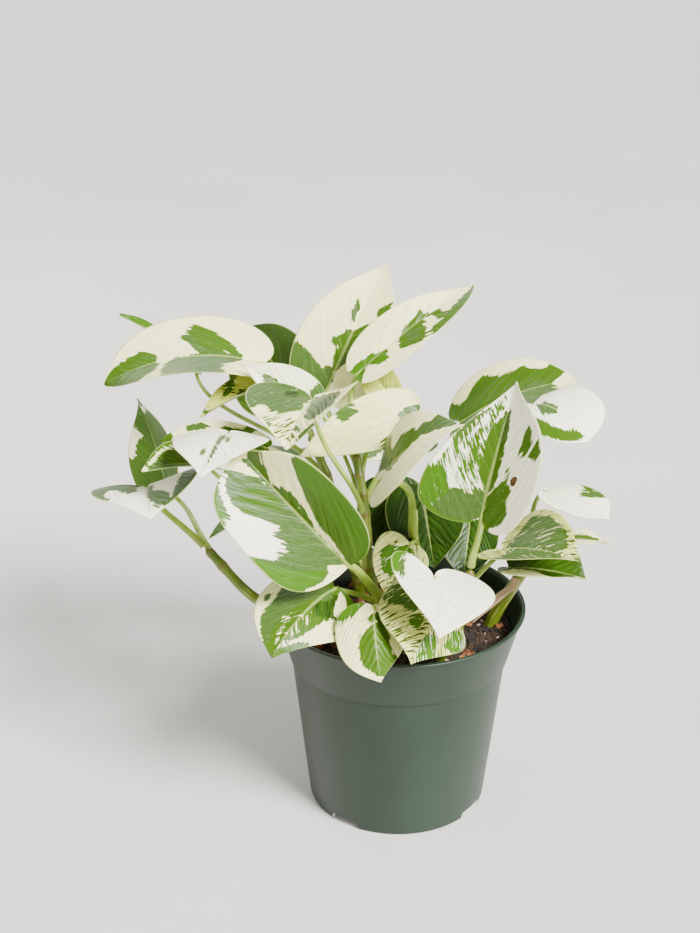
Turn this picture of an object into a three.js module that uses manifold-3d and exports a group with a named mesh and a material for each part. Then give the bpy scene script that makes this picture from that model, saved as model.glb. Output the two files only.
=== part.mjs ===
// A potted variegated pothos: a green moulded nursery pot, potting mix,
// rooted vine cuttings, and one solid for each leaf with its own petiole.
// Millimetres, +Z up. The origin is the centre of the pot's base, on the
// surface it stands on. The front of the plant is -Y, its right side +X.

import * as THREE from 'three';
import { mergeVertices } from 'three/addons/utils/BufferGeometryUtils.js';
import Module from 'manifold-3d';

const wasm = await Module();
wasm.setup();

// Clearance between pieces that touch on the real plant
const CLEARANCE = 0.3;

// The pot: a thin tapered cup with a wider band below its rim
const POT = {
  height: 92,
  rimRadius: 54,
  bandBottomZ: 69,
  bandBottomRadius: 47.2,
  bodyTopRadius: 46.3,
  baseRadius: 38.7,
  wall: 1.5,
  lip: 1.6,
  lipOverhang: 0.6,
  step: 1,
  footRound: 1.6,
  facets: 48,
};
// Where the lip's edges are cut to round them, as shares of its height
const LIP_ROUND = { under: 0.7, over: 0.3, inside: 0.9 };
// Drain slots through the bottom corner, by their angle from the front towards +X
const DRAIN_SLOT = { anglesDeg: [-35, 57, 145, 235], width: 13, height: 3.2, inset: 7, beyond: 4, below: 2 };

// The potting mix: level a finger's width below the rim, with bark chips in its surface
const SOIL = { surfaceZ: 80, crown: 2, bumps: 0.7, stepMargin: 0.6, sectors: 24, rings: 5 };
const SOIL_WAVES = { fineX: 0.41, fineY: 0.37, start: 1, broadX: 0.17, broadY: 0.23 };
const CHIPS = {
  count: 20,
  seed: 11,
  longest: 11,
  // Least and greatest shares: of the longest chip, and of a chip's own length
  lengths: [0.5, 1],
  widths: [0.4, 0.7],
  thicknesses: [0.25, 0.45],
  raised: 0.05,
  ringInner: 12,
  ringOuter: 44,
  tilt: 0.8,
  turn: 2.4,
};

// A vine: swollen where each leaf grows, and thinner towards its tip
const VINE = { sides: 8, steps: 10, tipTaper: 0.35, swelling: 0.22, swellingLength: 3 };

// A petiole, by its radius and the distance that it spans. It leaves along its vine,
// reaches the blade from behind and below, and runs on for a stretch as the midrib's root.
const PETIOLE = {
  sides: 5,
  steps: 5,
  footWidth: 1.15,
  narrowing: 0.35,
  bend: 0.38,
  dip: 0.6,
  midribReach: 0.14,
  midribWidth: 0.3,
};

// A blade: the rows from its base to its tip, and its outline as fractions of its length
// and half width. A full leaf has a broader shoulder and a blunter tip.
const BLADE = { thickness: 0.8, rows: 8, columnsWide: 3, columnsNarrow: 2, wideFrom: 30 };
const OUTLINE = {
  widestAt: 0.27,
  baseWidth: 0.2,
  lobeWidth: 0.75,
  shoulder: 0.34,
  tipWidth: 0.2,
  tipAt: 0.8,
};
const FULL_OUTLINE = { shoulder: 0.12, tipWidth: 0.3, tipAt: 0.05 };
// Veins leave the midrib behind where they reach the margin
const VEIN_SWEEP = 1.9;
// Waves along each margin, and how far the left side's waves are ahead of the right side's
const MARGIN_WAVES = { count: 1.5, offset: 0.3 };

// Each vine: its radius and the points it grows through, from its buried end to its tip
const STEMS = [
  { name: 'stem_left', radius: 2.4,
    points: [[-20, -8, 58], [-27, -13, 82], [-41, -22, 95], [-59, -25, 106], [-79, -20, 126]] },
  { name: 'stem_front', radius: 2.5,
    points: [[4, -6, 58], [4, -9, 80], [0, -16, 93], [-6, -23, 104]] },
  { name: 'stem_centre', radius: 2.3,
    points: [[-4, 2, 58], [-7, 0, 82], [-13, 1, 106], [-15, 4, 134], [-19, 12, 156]] },
  { name: 'stem_inner', radius: 2.2,
    points: [[12, 4, 58], [12, 3, 82], [10, 2, 104], [6, 0, 122]] },
  { name: 'stem_front_right', radius: 2.1,
    points: [[12, -22, 58], [17, -29, 80], [20, -31, 92], [20, -28, 101]] },
  { name: 'stem_right', radius: 2.4,
    points: [[23, -2, 58], [25, -7, 82], [28, -13, 100], [29, -18, 117]] },
  { name: 'stem_right_edge', radius: 2.9,
    points: [[36, 6, 58], [40, 2, 82], [45, 2, 93], [52, 6, 104], [54, 9, 112]] },
  { name: 'stem_back_right', radius: 2.2,
    points: [[22, 24, 58], [24, 27, 82], [28, 34, 106], [33, 42, 130], [36, 48, 144]] },
  { name: 'stem_back', radius: 2.3,
    points: [[-14, 24, 58], [-17, 27, 82], [-24, 33, 108], [-33, 40, 134], [-40, 42, 152]] },
];

// The dry sheath that peels off the vine at the pot's right edge, from its free end up
const SHEATH = {
  stem: 'stem_right_edge',
  points: [[31, -6, 86], [37, -5, 93], [43, -3, 98.5], [48, -1, 101.5], [50, 4, 103]],
  halfWidths: [0.6, 2, 2.6, 2.2, 1.4],
  halfThickness: 0.4,
  sides: 6,
};

// Each leaf: the vine that it grows on and how far along it, the ends of its blade (where the
// petiole joins it, and its tip), the way its upper face looks, and its full width. Then the
// fold of its halves about the midrib, its arch from end to end and the added curl of its
// margins in degrees, the height of its waves, the lobes behind its base as a share of its
// length, and its petiole's radius. Some petioles bend by way of a point of their own. A full
// leaf keeps its width nearer to its tip, and some leaves are widest at a share of their length
// of their own. A pair of values holds one for the left half and one for the right half.
const LEAVES = [
  { name: 'leaf_top_left', stem: 'stem_back', at: 0.98, base: [-60, 38, 186], tip: [-126, 25, 180],
    face: [-0.1, -0.2, 1], width: 50, fold: [7, 14], arch: 54, curl: 4, wave: 1, lobe: 0.14,
    radius: 1.3, full: 1.2 },
  { name: 'leaf_back_far_left', stem: 'stem_back', at: 0.7, base: [-95, 84, 168], tip: [-127, 74, 196.5],
    face: [0.5, 0, 0.85], width: 15, fold: 10, arch: 20, curl: 0, wave: 1, lobe: 0.14, radius: 1.1 },
  { name: 'leaf_back_green', stem: 'stem_back', at: 0.9, base: [-48, 56, 164], tip: [-67, 72, 192],
    face: [-0.5, -0.8, 0.5], width: 44, fold: 16, arch: 20, curl: 4, wave: 1, lobe: 0.14, radius: 1.1,
    full: 1 },
  { name: 'leaf_top_centre', stem: 'stem_centre', at: 0.9, base: [-33, 33, 174], tip: [-7, 55, 226],
    face: [-0.15, -0.85, 0.5], width: 42, fold: [14, 4], arch: 16, curl: 4, wave: 1, lobe: 0.1,
    radius: 1.3, full: 0.5 },
  { name: 'leaf_top_right', stem: 'stem_centre', at: 0.98, base: [-19, 22, 187], tip: [30, 46, 220],
    face: [-0.35, -0.75, 0.6], width: 24, fold: [10, 14], arch: 24, curl: 4, wave: 1, lobe: 0.06,
    radius: 1.2, full: [0.25, 1.6] },
  { name: 'leaf_lime_inner', stem: 'stem_centre', at: 0.82, base: [-4, 25, 175], tip: [-18, 35, 193],
    face: [-0.3, -0.8, 0.5], width: 16, fold: 12, arch: 30, curl: 4, wave: 1, lobe: 0.04, radius: 1,
    via: [-10, 30, 160] },
  { name: 'leaf_right_back_green', stem: 'stem_back_right', at: 0.98, base: [27, 58, 153],
    tip: [78, 56, 174],
    face: [-0.1, -0.4, 0.9], width: 40, fold: [2, 12], arch: 40, curl: 4, wave: 1, lobe: 0.2,
    radius: 1.2, full: 1 },
  { name: 'leaf_right_back_white', stem: 'stem_back_right', at: 0.88, base: [55, 28, 173],
    tip: [77, 6, 164.5],
    face: [0.3, -0.5, 0.8], width: 40, fold: 6, arch: 70, curl: -4, wave: 1, lobe: 0.2, radius: 1.1,
    via: [52, 26, 150], full: 1.8 },
  { name: 'leaf_right_front_big', stem: 'stem_right', at: 0.98, base: [32, -28, 145], tip: [45, -12, 197],
    face: [-0.3, -0.85, 0.4], width: 54, fold: [10, 34], arch: 14, curl: 2, wave: 1.2, lobe: 0.12,
    radius: 1.4, full: [0, 0.3], widest: [0.1, 0.42] },
  { name: 'leaf_centre_right', stem: 'stem_inner', at: 0.97, base: [-8, -16, 156], tip: [24, -31, 186],
    face: [-0.44, -0.31, 0.84], width: 38, fold: 8, arch: 50, curl: -4, wave: 1, lobe: 0.2,
    radius: 1.6, via: [10, -8, 152], full: 0.3 },
  { name: 'leaf_centre_cream', stem: 'stem_centre', at: 0.74, base: [7, 18, 172], tip: [-42, 4, 157],
    face: [-0.1, -0.7, 0.7], width: 28, fold: 12, arch: 26, curl: 4, wave: 1, lobe: 0.08, radius: 1.1,
    full: 0.3 },
  { name: 'leaf_speckled', stem: 'stem_centre', at: 0.66, base: [-36, 0, 184], tip: [-45, -32, 175],
    face: [-0.1, -0.35, 0.93], width: 50, fold: [26, 12], arch: 40, curl: 4, wave: 1.5, lobe: 0.14,
    radius: 1.1, via: [-34, -10, 160], full: 0.2 },
  { name: 'leaf_small_white', stem: 'stem_centre', at: 0.62, base: [-36, 14, 176], tip: [-66.5, 12, 195],
    face: [-0.1, -0.7, 0.6], width: 20, fold: 10, arch: 24, curl: 4, wave: 0.6, lobe: 0.1, radius: 0.9 },
  { name: 'leaf_left_lime', stem: 'stem_back', at: 0.8, base: [-59, 26, 180], tip: [-84.5, 16, 169.5],
    face: [-0.6, -0.4, 0.7], width: 18, fold: 30, arch: 20, curl: 0, wave: 0.6, lobe: 0.1, radius: 0.9 },
  { name: 'leaf_left_strip', stem: 'stem_back', at: 0.6, base: [-56, 4, 161], tip: [-100, 4, 163],
    face: [0, -0.25, 0.95], width: 18, fold: 6, arch: 60, curl: 0, wave: 0.8, lobe: 0.1, radius: 0.9,
    full: 0.4 },
  { name: 'leaf_left_white', stem: 'stem_centre', at: 0.5, base: [-68, -20, 177], tip: [-75, -56, 173],
    face: [-0.1, -0.3, 0.95], width: 38, fold: 4, arch: 50, curl: -8, wave: 0.8, lobe: 0.14,
    radius: 1.2, full: 0.2 },
  { name: 'leaf_left_green_white', stem: 'stem_centre', at: 0.42, base: [-77, -14, 160],
    tip: [-101, -34, 166],
    face: [-0.2, -0.4, 0.85], width: 24, fold: 24, arch: 30, curl: 0, wave: 0.6, lobe: 0.14, radius: 1,
    full: 0.3 },
  { name: 'leaf_far_left_upright', stem: 'stem_left', at: 0.9, base: [-101, 20, 133],
    tip: [-115, 38, 169],
    face: [-0.75, -0.6, 0.3], width: 34, fold: 14, arch: -20, curl: 0, wave: 1, lobe: 0.14,
    radius: 1.2, full: [0.2, 0.9] },
  { name: 'leaf_low_left_boat', stem: 'stem_left', at: 0.98, base: [-104.5, -5, 146],
    tip: [-97, -46, 151],
    face: [0, -0.2, 0.95], width: 45, fold: [24, 9], arch: 36, curl: -4, wave: 1, lobe: [0.02, 0.14],
    radius: 1.3, full: 0.8, widest: [0.42, 0.27] },
  { name: 'leaf_front_left_big', stem: 'stem_front', at: 0.98, base: [-20, -38, 128],
    tip: [-62.5, -36, 176.5],
    face: [0, -0.98, 0.05], width: 51, fold: [26, 27], arch: 16, curl: 2, wave: 1, lobe: [0, 0],
    radius: 1.9, full: [2.2, 0.8], widest: [0.34, 0.46] },
  { name: 'leaf_left_dark_tip', stem: 'stem_back', at: 0.3, base: [-60, 4, 131], tip: [-80, -4, 123],
    face: [-0.2, 0.1, 0.9], width: 20, fold: 10, arch: 20, curl: 0, wave: 0.4, lobe: 0.1, radius: 0.9 },
  { name: 'leaf_low_left_front', stem: 'stem_front', at: 0.75, base: [-26, -30, 114],
    tip: [-49, -66, 102],
    face: [-0.3, -0.6, 0.7], width: 46, fold: [-32, 4], arch: 40, curl: -3, wave: 1.2, lobe: 0.14,
    radius: 1.2, full: [0, 0.9], widest: [0.12, 0.27] },
  { name: 'leaf_front_centre', stem: 'stem_front', at: 0.5, base: [-10, -46, 114.5], tip: [-6.5, -68, 93],
    face: [-0.2, -0.75, 0.6], width: 32, fold: [-45, 6], arch: 30, curl: -3, wave: 0.8, lobe: 0.1,
    radius: 1.1, via: [-11, -36, 106], full: [0.2, 1.2] },
  { name: 'leaf_front_speckled', stem: 'stem_front_right', at: 0.95, base: [18, -30, 110],
    tip: [5, -67, 101],
    face: [0.1, -0.65, 0.75], width: 44, fold: [-40, 10], arch: 24, curl: -3, wave: 1, lobe: 0.2,
    radius: 1.2, full: [0, 0.4], widest: [0.1, 0.45] },
  { name: 'leaf_white_heart', stem: 'stem_right', at: 0.62, base: [14, -34, 122], tip: [15.5, -68, 113],
    face: [0.25, -0.35, 0.9], width: 50, fold: [0, 33], arch: 24, curl: -3, wave: 0.8,
    lobe: [0.42, 0.06], radius: 1.2, full: 0.2, widest: [0.12, 0.36] },
  { name: 'leaf_inner_speckled', stem: 'stem_inner', at: 0.85, base: [4, -10, 124], tip: [-5, -11, 100],
    face: [-0.5, -0.75, 0.4], width: 28, fold: 8, arch: 20, curl: 0, wave: 0.6, lobe: 0.14, radius: 1,
    full: 0.4 },
  { name: 'leaf_shade_centre', stem: 'stem_inner', at: 0.9, base: [9, 12, 140], tip: [15, 0, 108],
    face: [0, -0.9, 0.3], width: 34, fold: 8, arch: 20, curl: 0, wave: 0.8, lobe: 0.14, radius: 1,
    full: 0.4 },
  { name: 'leaf_shade_left', stem: 'stem_back', at: 0.34, base: [-4, 22, 138], tip: [-4, 12, 104],
    face: [0.1, -0.9, 0.3], width: 30, fold: 8, arch: 20, curl: 0, wave: 0.8, lobe: 0.14, radius: 1,
    full: 0.4 },
  { name: 'leaf_shade_right', stem: 'stem_back_right', at: 0.3, base: [30, 14, 125], tip: [27, -2, 104],
    face: [0, -0.8, 0.5], width: 26, fold: 8, arch: 20, curl: 0, wave: 0.8, lobe: 0.14, radius: 1,
    full: 0.4 },
  { name: 'leaf_right_speckled', stem: 'stem_right', at: 0.78, base: [43, -4, 120], tip: [72, -28, 127],
    face: [0, -0.35, 0.93], width: 40, fold: [12, 22], arch: 30, curl: 4, wave: 1.2, lobe: 0.14,
    radius: 1.1, full: 0.6 },
  { name: 'leaf_right_lower', stem: 'stem_right_edge', at: 0.92, base: [46, -3, 111], tip: [77, -14, 112],
    face: [0, -0.4, 0.9], width: 34, fold: [35, 40], arch: 20, curl: 0, wave: 1, lobe: 0.1,
    radius: 1.1, full: 1.2 },
  { name: 'leaf_far_right_white', stem: 'stem_right_edge', at: 0.99, base: [61, 16, 138],
    tip: [86.5, -3, 133.5],
    face: [0.1, -0.2, 0.97], width: 22, fold: 4, arch: 40, curl: -4, wave: 0.8, lobe: 0.02,
    radius: 1.1, full: 1.2, widest: 0.42 },
  { name: 'leaf_right_sliver', stem: 'stem_right_edge', at: 0.86, base: [71, 16, 116], tip: [91, 15, 114],
    face: [0, 0.1, 1], width: 16, fold: 6, arch: 20, curl: 0, wave: 0.8, lobe: 0.1, radius: 0.9 },
  { name: 'leaf_back_low_left', stem: 'stem_back', at: 0.5, base: [-38, 72, 130], tip: [-60, 104, 114],
    face: [-0.2, 0.6, 0.8], width: 40, fold: 8, arch: 40, curl: -2, wave: 1, lobe: 0.14, radius: 1.2,
    full: 0.3 },
  { name: 'leaf_back_middle', stem: 'stem_back', at: 0.42, base: [-6, 68, 130], tip: [4, 106, 120],
    face: [0, 0.5, 0.9], width: 42, fold: 8, arch: 40, curl: -2, wave: 1, lobe: 0.14, radius: 1.2,
    full: 0.3 },
  { name: 'leaf_back_low_right', stem: 'stem_back_right', at: 0.5, base: [34, 70, 124],
    tip: [56, 98, 106],
    face: [0.3, 0.5, 0.8], width: 36, fold: 8, arch: 40, curl: -2, wave: 1, lobe: 0.14, radius: 1.1,
    full: 0.3 },
];

// Colours of the pieces
const COLOURS = {
  pot: '#4c6b59',
  soil: '#2b1c14',
  stem: '#8a9f3e',
  leaf: '#b9cc94',
};

/** A three.js vector from a list of three numbers. */
function vector(list) {
  return new THREE.Vector3(...list);
}

/** Seeded random numbers between 0 and 1 (a linear congruential generator). */
function randomFrom(seed) {
  let state = seed;
  return () => {
    state = (state * 1664525 + 1013904223) % 4294967296;
    return state / 4294967296;
  };
}

/** A solid for cutting and joining, from a closed geometry. */
function solidFrom(geometry) {
  const bare = geometry.index ? geometry.toNonIndexed() : geometry.clone();
  bare.deleteAttribute('normal');
  bare.deleteAttribute('uv');
  const merged = mergeVertices(bare, 1e-4);
  return new wasm.Manifold(new wasm.Mesh({
    numProp: 3,
    vertProperties: Float32Array.from(merged.attributes.position.array),
    triVerts: Uint32Array.from(merged.index.array),
  }));
}

/** A three.js geometry from a solid. */
function geometryFrom(solid) {
  const mesh = solid.getMesh();
  const geometry = new THREE.BufferGeometry();
  geometry.setAttribute('position', new THREE.Float32BufferAttribute(mesh.vertProperties, 3));
  geometry.setIndex(new THREE.Uint32BufferAttribute(mesh.triVerts, 1));
  geometry.computeVertexNormals();
  return geometry;
}

/** The largest body of a solid, so that a cut leaves no loose scrap. */
function largestBody(solid) {
  const bodies = solid.decompose();
  bodies.sort((a, b) => b.volume() - a.volume());
  return bodies[0];
}

/** A geometry from lists of points and of triangles. */
function geometryOf(points, triangles) {
  const geometry = new THREE.BufferGeometry();
  geometry.setAttribute('position', new THREE.Float32BufferAttribute(points.flatMap((p) => p.toArray()), 3));
  geometry.setIndex(triangles.flat());
  return geometry;
}

/** A closed rod round a list of points, with a radius for each, or two for a flat one. */
function rod(points, radii, sides, flatRadii = radii) {
  const curve = new THREE.CatmullRomCurve3(points);
  const last = points.length - 1;
  const tangents = points.map((_, i) => curve.getTangent(i / last));
  const side = new THREE.Vector3(1, 0, 0).cross(tangents[0]).normalize();
  const vertices = [];
  points.forEach((centre, i) => {
    side.addScaledVector(tangents[i], -side.dot(tangents[i])).normalize();
    const other = tangents[i].clone().cross(side);
    for (let k = 0; k < sides; k += 1) {
      const angle = (k / sides) * 2 * Math.PI;
      vertices.push(centre.clone()
        .addScaledVector(side, radii[i] * Math.cos(angle))
        .addScaledVector(other, flatRadii[i] * Math.sin(angle)));
    }
  });
  const start = vertices.push(points[0].clone()) - 1;
  const end = vertices.push(points[last].clone()) - 1;
  const triangles = [];
  for (let k = 0; k < sides; k += 1) {
    const next = (k + 1) % sides;
    triangles.push([start, next, k]);
    triangles.push([end, last * sides + k, last * sides + next]);
    for (let i = 0; i < last; i += 1) {
      const here = i * sides;
      const above = here + sides;
      triangles.push([here + k, here + next, above + next], [here + k, above + next, above + k]);
    }
  }
  return geometryOf(vertices, triangles);
}

/** A lathe turned about the pot's upright axis from (radius, height) pairs. */
function turned(profile, facets) {
  const points = profile.map(([radius, height]) => new THREE.Vector2(radius, height));
  return new THREE.LatheGeometry(points, facets).rotateX(Math.PI / 2);
}

/** The radius of the pot's outer wall at a height, below its band and in it. */
function outerRadiusAt(z) {
  if (z < POT.bandBottomZ) {
    return THREE.MathUtils.mapLinear(z, 0, POT.bandBottomZ, POT.baseRadius, POT.bodyTopRadius);
  }
  const bandTopRadius = POT.rimRadius - POT.lipOverhang;
  return THREE.MathUtils.mapLinear(z, POT.bandBottomZ, POT.height, POT.bandBottomRadius, bandTopRadius);
}

/** The radius of the pot's inner wall at a height. */
function innerRadiusAt(z) {
  return outerRadiusAt(z) - POT.wall;
}

/** One drain slot: a block that cuts the bottom corner of the pot. */
function drainSlotCutter(angleDeg) {
  const outside = POT.baseRadius + DRAIN_SLOT.beyond;
  const inside = POT.baseRadius - DRAIN_SLOT.inset;
  const height = DRAIN_SLOT.height + DRAIN_SLOT.below;
  const block = new THREE.BoxGeometry(DRAIN_SLOT.width, outside - inside, height);
  block.translate(0, -(outside + inside) / 2, (DRAIN_SLOT.height - DRAIN_SLOT.below) / 2);
  block.rotateZ(THREE.MathUtils.degToRad(angleDeg));
  return solidFrom(block);
}

/** The pot: a turned cup with a stepped band, a rounded lip and its drain slots. */
function potSolid() {
  const belowStep = POT.bandBottomZ - POT.step / 2;
  const aboveStep = POT.bandBottomZ + POT.step / 2;
  const lipZ = POT.height;
  const cup = turned([
    [0, 0],
    [POT.baseRadius - POT.footRound, 0],
    [outerRadiusAt(POT.footRound), POT.footRound],
    [outerRadiusAt(belowStep), belowStep],
    [POT.bandBottomRadius, aboveStep],
    [outerRadiusAt(lipZ - POT.lip), lipZ - POT.lip],
    [POT.rimRadius, lipZ - POT.lip * LIP_ROUND.under],
    [POT.rimRadius, lipZ - POT.lip * LIP_ROUND.over],
    [POT.rimRadius - POT.lip * LIP_ROUND.over, lipZ],
    [POT.rimRadius - POT.lip * LIP_ROUND.inside, lipZ],
    [innerRadiusAt(lipZ - POT.lip), lipZ - POT.lip],
    [innerRadiusAt(aboveStep), aboveStep],
    [innerRadiusAt(belowStep), belowStep],
    [innerRadiusAt(POT.wall), POT.wall],
    [0, POT.wall],
  ], POT.facets);
  return DRAIN_SLOT.anglesDeg.reduce((pot, angle) => pot.subtract(drainSlotCutter(angle)), solidFrom(cup));
}

/** The height of the potting mix: slightly crowned and uneven, and level at the wall. */
function soilHeight(x, y) {
  const reach = Math.hypot(x, y) / innerRadiusAt(SOIL.surfaceZ);
  const crown = SOIL.crown * (1 - reach * reach);
  const fine = Math.sin(x * SOIL_WAVES.fineX + SOIL_WAVES.start) * Math.cos(y * SOIL_WAVES.fineY);
  const broad = Math.sin(x * SOIL_WAVES.broadX - y * SOIL_WAVES.broadY);
  const bumps = SOIL.bumps * (fine + broad);
  return SOIL.surfaceZ + crown + bumps * (1 - reach ** 4);
}

/** The body of the potting mix, from the pot's floor to its uneven surface. */
function soilBody() {
  const rim = innerRadiusAt(SOIL.surfaceZ) - CLEARANCE;
  const floorZ = POT.wall + CLEARANCE;
  const levels = [
    [innerRadiusAt(floorZ) - CLEARANCE, floorZ],
    [innerRadiusAt(POT.bandBottomZ - SOIL.stepMargin) - CLEARANCE, POT.bandBottomZ - SOIL.stepMargin],
    [innerRadiusAt(POT.bandBottomZ) - CLEARANCE, POT.bandBottomZ + SOIL.stepMargin],
  ];
  const circle = (radius, height) => Array.from({ length: SOIL.sectors }, (_, k) => {
    const angle = (k / SOIL.sectors) * 2 * Math.PI;
    const x = radius * Math.cos(angle);
    const y = radius * Math.sin(angle);
    return new THREE.Vector3(x, y, height ?? soilHeight(x, y));
  });
  const loops = levels.map(([radius, z]) => circle(radius, z));
  for (let ring = SOIL.rings; ring > 0; ring -= 1) {
    loops.push(circle((rim * ring) / SOIL.rings));
  }
  const points = loops.flat();
  const bottom = points.push(new THREE.Vector3(0, 0, floorZ)) - 1;
  const top = points.push(new THREE.Vector3(0, 0, soilHeight(0, 0))) - 1;
  const triangles = [];
  const lastLoop = (loops.length - 1) * SOIL.sectors;
  for (let k = 0; k < SOIL.sectors; k += 1) {
    const next = (k + 1) % SOIL.sectors;
    triangles.push([bottom, next, k], [top, lastLoop + k, lastLoop + next]);
    for (let loop = 0; loop < loops.length - 1; loop += 1) {
      const here = loop * SOIL.sectors;
      const above = here + SOIL.sectors;
      triangles.push([here + k, here + next, above + next], [here + k, above + next, above + k]);
    }
  }
  return solidFrom(geometryOf(points, triangles));
}

/** Bark chips, part sunk in the surface of the potting mix. */
function barkChips() {
  const random = randomFrom(CHIPS.seed);
  return Array.from({ length: CHIPS.count }, (_, i) => {
    const length = CHIPS.longest * THREE.MathUtils.lerp(...CHIPS.lengths, random());
    const width = length * THREE.MathUtils.lerp(...CHIPS.widths, random());
    const thickness = length * THREE.MathUtils.lerp(...CHIPS.thicknesses, random());
    const chip = new THREE.BoxGeometry(length, width, thickness);
    chip.rotateX((random() - 0.5) * CHIPS.tilt);
    chip.rotateZ(random() * Math.PI);
    const angle = i * CHIPS.turn + random();
    const radius = THREE.MathUtils.lerp(CHIPS.ringInner, CHIPS.ringOuter, Math.sqrt(random()));
    const x = radius * Math.cos(angle);
    const y = radius * Math.sin(angle);
    chip.translate(x, y, soilHeight(x, y) + length * CHIPS.raised);
    return solidFrom(chip);
  });
}

/** The course of a vine. */
function stemCurve(stem) {
  return new THREE.CatmullRomCurve3(stem.points.map(vector));
}

/** A vine, swollen at each leaf's node and tapered at its tip, grown by a margin all over. */
function stemSolid(stem, margin = 0) {
  const curve = stemCurve(stem);
  const nodes = LEAVES.filter((leaf) => leaf.stem === stem.name).map((leaf) => leaf.at);
  const length = curve.getLength();
  const points = [];
  const radii = [];
  for (let i = 0; i <= VINE.steps; i += 1) {
    const u = i / VINE.steps;
    const swelling = nodes.reduce((sum, at) => {
      const distance = ((u - at) * length) / VINE.swellingLength;
      return sum + Math.exp(-distance * distance);
    }, 0);
    const taper = 1 - VINE.tipTaper * u ** 4;
    points.push(curve.getPointAt(u));
    radii.push(stem.radius * taper * (1 + VINE.swelling * Math.min(swelling, 1)) + margin);
  }
  if (margin > 0) {
    points[0].addScaledVector(curve.getTangentAt(0), -margin);
    points[VINE.steps].addScaledVector(curve.getTangentAt(1), margin);
  }
  return solidFrom(rod(points, radii, VINE.sides));
}

/** The dry sheath: a flat ribbon that grows out of its vine at its upper end. */
function sheathSolid() {
  const thickness = SHEATH.halfWidths.map(() => SHEATH.halfThickness);
  return solidFrom(rod(SHEATH.points.map(vector), thickness, SHEATH.sides, SHEATH.halfWidths));
}

/** The axes of a blade: from its base to its tip, out of its upper face, and to its right. */
function bladeAxes(leaf) {
  const origin = vector(leaf.base);
  const along = vector(leaf.tip).sub(origin);
  const chord = along.length();
  along.normalize();
  const up = vector(leaf.face);
  up.addScaledVector(along, -up.dot(along)).normalize();
  const right = along.clone().cross(up);
  return { origin, along, up, right, chord };
}

/** The left or right value of a pair, or the one value that holds for both halves. */
function ofSide(value, side) {
  return [value].flat().at(side > 0 ? -1 : 0);
}

/** A point on the margin of a blade's right half, from the base (0) round the lobe to the tip (1). */
function marginPoint(leaf, length, s, side) {
  const half = leaf.width / 2;
  const full = ofSide(leaf.full ?? 0, side);
  const widest = new THREE.Vector2(half, ofSide(leaf.widest ?? OUTLINE.widestAt, side) * length);
  const lobe = ofSide(leaf.lobe, side) * length;
  if (s < 0.5) {
    return new THREE.CubicBezierCurve(
      new THREE.Vector2(0, 0),
      new THREE.Vector2(half * OUTLINE.baseWidth, -lobe),
      new THREE.Vector2(half, -lobe * OUTLINE.lobeWidth),
      widest,
    ).getPoint(s * 2);
  }
  const shoulder = OUTLINE.shoulder + FULL_OUTLINE.shoulder * full;
  const tipWidth = OUTLINE.tipWidth + FULL_OUTLINE.tipWidth * full;
  return new THREE.CubicBezierCurve(
    widest,
    new THREE.Vector2(half, widest.y + shoulder * length),
    new THREE.Vector2(half * tipWidth, (OUTLINE.tipAt + FULL_OUTLINE.tipAt * full) * length),
    new THREE.Vector2(0, length),
  ).getPoint(s * 2 - 1);
}

/** A function that gives the place of a blade's upper face, and the way down through it. */
function bladeSurface(leaf) {
  const { origin, along, up, right, chord } = bladeAxes(leaf);
  const arch = THREE.MathUtils.degToRad(leaf.arch);
  const curl = THREE.MathUtils.degToRad(leaf.curl);
  const length = chord * (arch / 2) / Math.sin(arch / 2);
  const bend = length / arch;
  return (side, across, s) => {
    const margin = marginPoint(leaf, length, s, side);
    const x = margin.x * across;
    const y = THREE.MathUtils.lerp(length * s ** VEIN_SWEEP, margin.y, across);
    const outward = x / (leaf.width / 2);
    const fold = THREE.MathUtils.degToRad(ofSide(leaf.fold, side));
    const angle = fold + curl * outward;
    const phase = MARGIN_WAVES.count * s + (side > 0 ? 0 : MARGIN_WAVES.offset);
    const wave = leaf.wave * Math.sin(2 * Math.PI * phase) * across ** 2;
    const lift = x * Math.sin(angle) + wave;
    const slope = arch * (0.5 - Math.max(y, 0) / length);
    const behind = Math.min(y, 0);
    const forward = bend * (Math.sin(arch / 2) - Math.sin(slope)) + behind * Math.cos(slope);
    const rise = bend * (Math.cos(slope) - Math.cos(arch / 2)) + behind * Math.sin(slope);
    const point = origin.clone()
      .addScaledVector(along, forward - lift * Math.sin(slope))
      .addScaledVector(up, rise + lift * Math.cos(slope))
      .addScaledVector(right, side * x * Math.cos(angle));
    const tilt = across > 0 ? fold + 2 * curl * outward : 0;
    const down = along.clone().multiplyScalar(Math.sin(slope) * Math.cos(tilt))
      .addScaledVector(up, -Math.cos(slope) * Math.cos(tilt))
      .addScaledVector(right, side * Math.sin(tilt));
    return { point, down };
  };
}

/** A closed sheet: the upper points and triangles, copied downwards and joined along their border. */
function thickened(uppers, triangles, thickness) {
  const count = uppers.length;
  const points = [
    ...uppers.map(({ point }) => point),
    ...uppers.map(({ point, down }) => point.clone().addScaledVector(down, thickness)),
  ];
  const edges = new Set(triangles.flatMap(([a, b, c]) => [`${a},${b}`, `${b},${c}`, `${c},${a}`]));
  const rim = [...edges]
    .map((edge) => edge.split(',').map(Number))
    .filter(([a, b]) => !edges.has(`${b},${a}`))
    .flatMap(([a, b]) => [[b, a, a + count], [b, a + count, b + count]]);
  const lower = triangles.map(([a, b, c]) => [c + count, b + count, a + count]);
  return geometryOf(points, [...triangles, ...lower, ...rim]);
}

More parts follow.
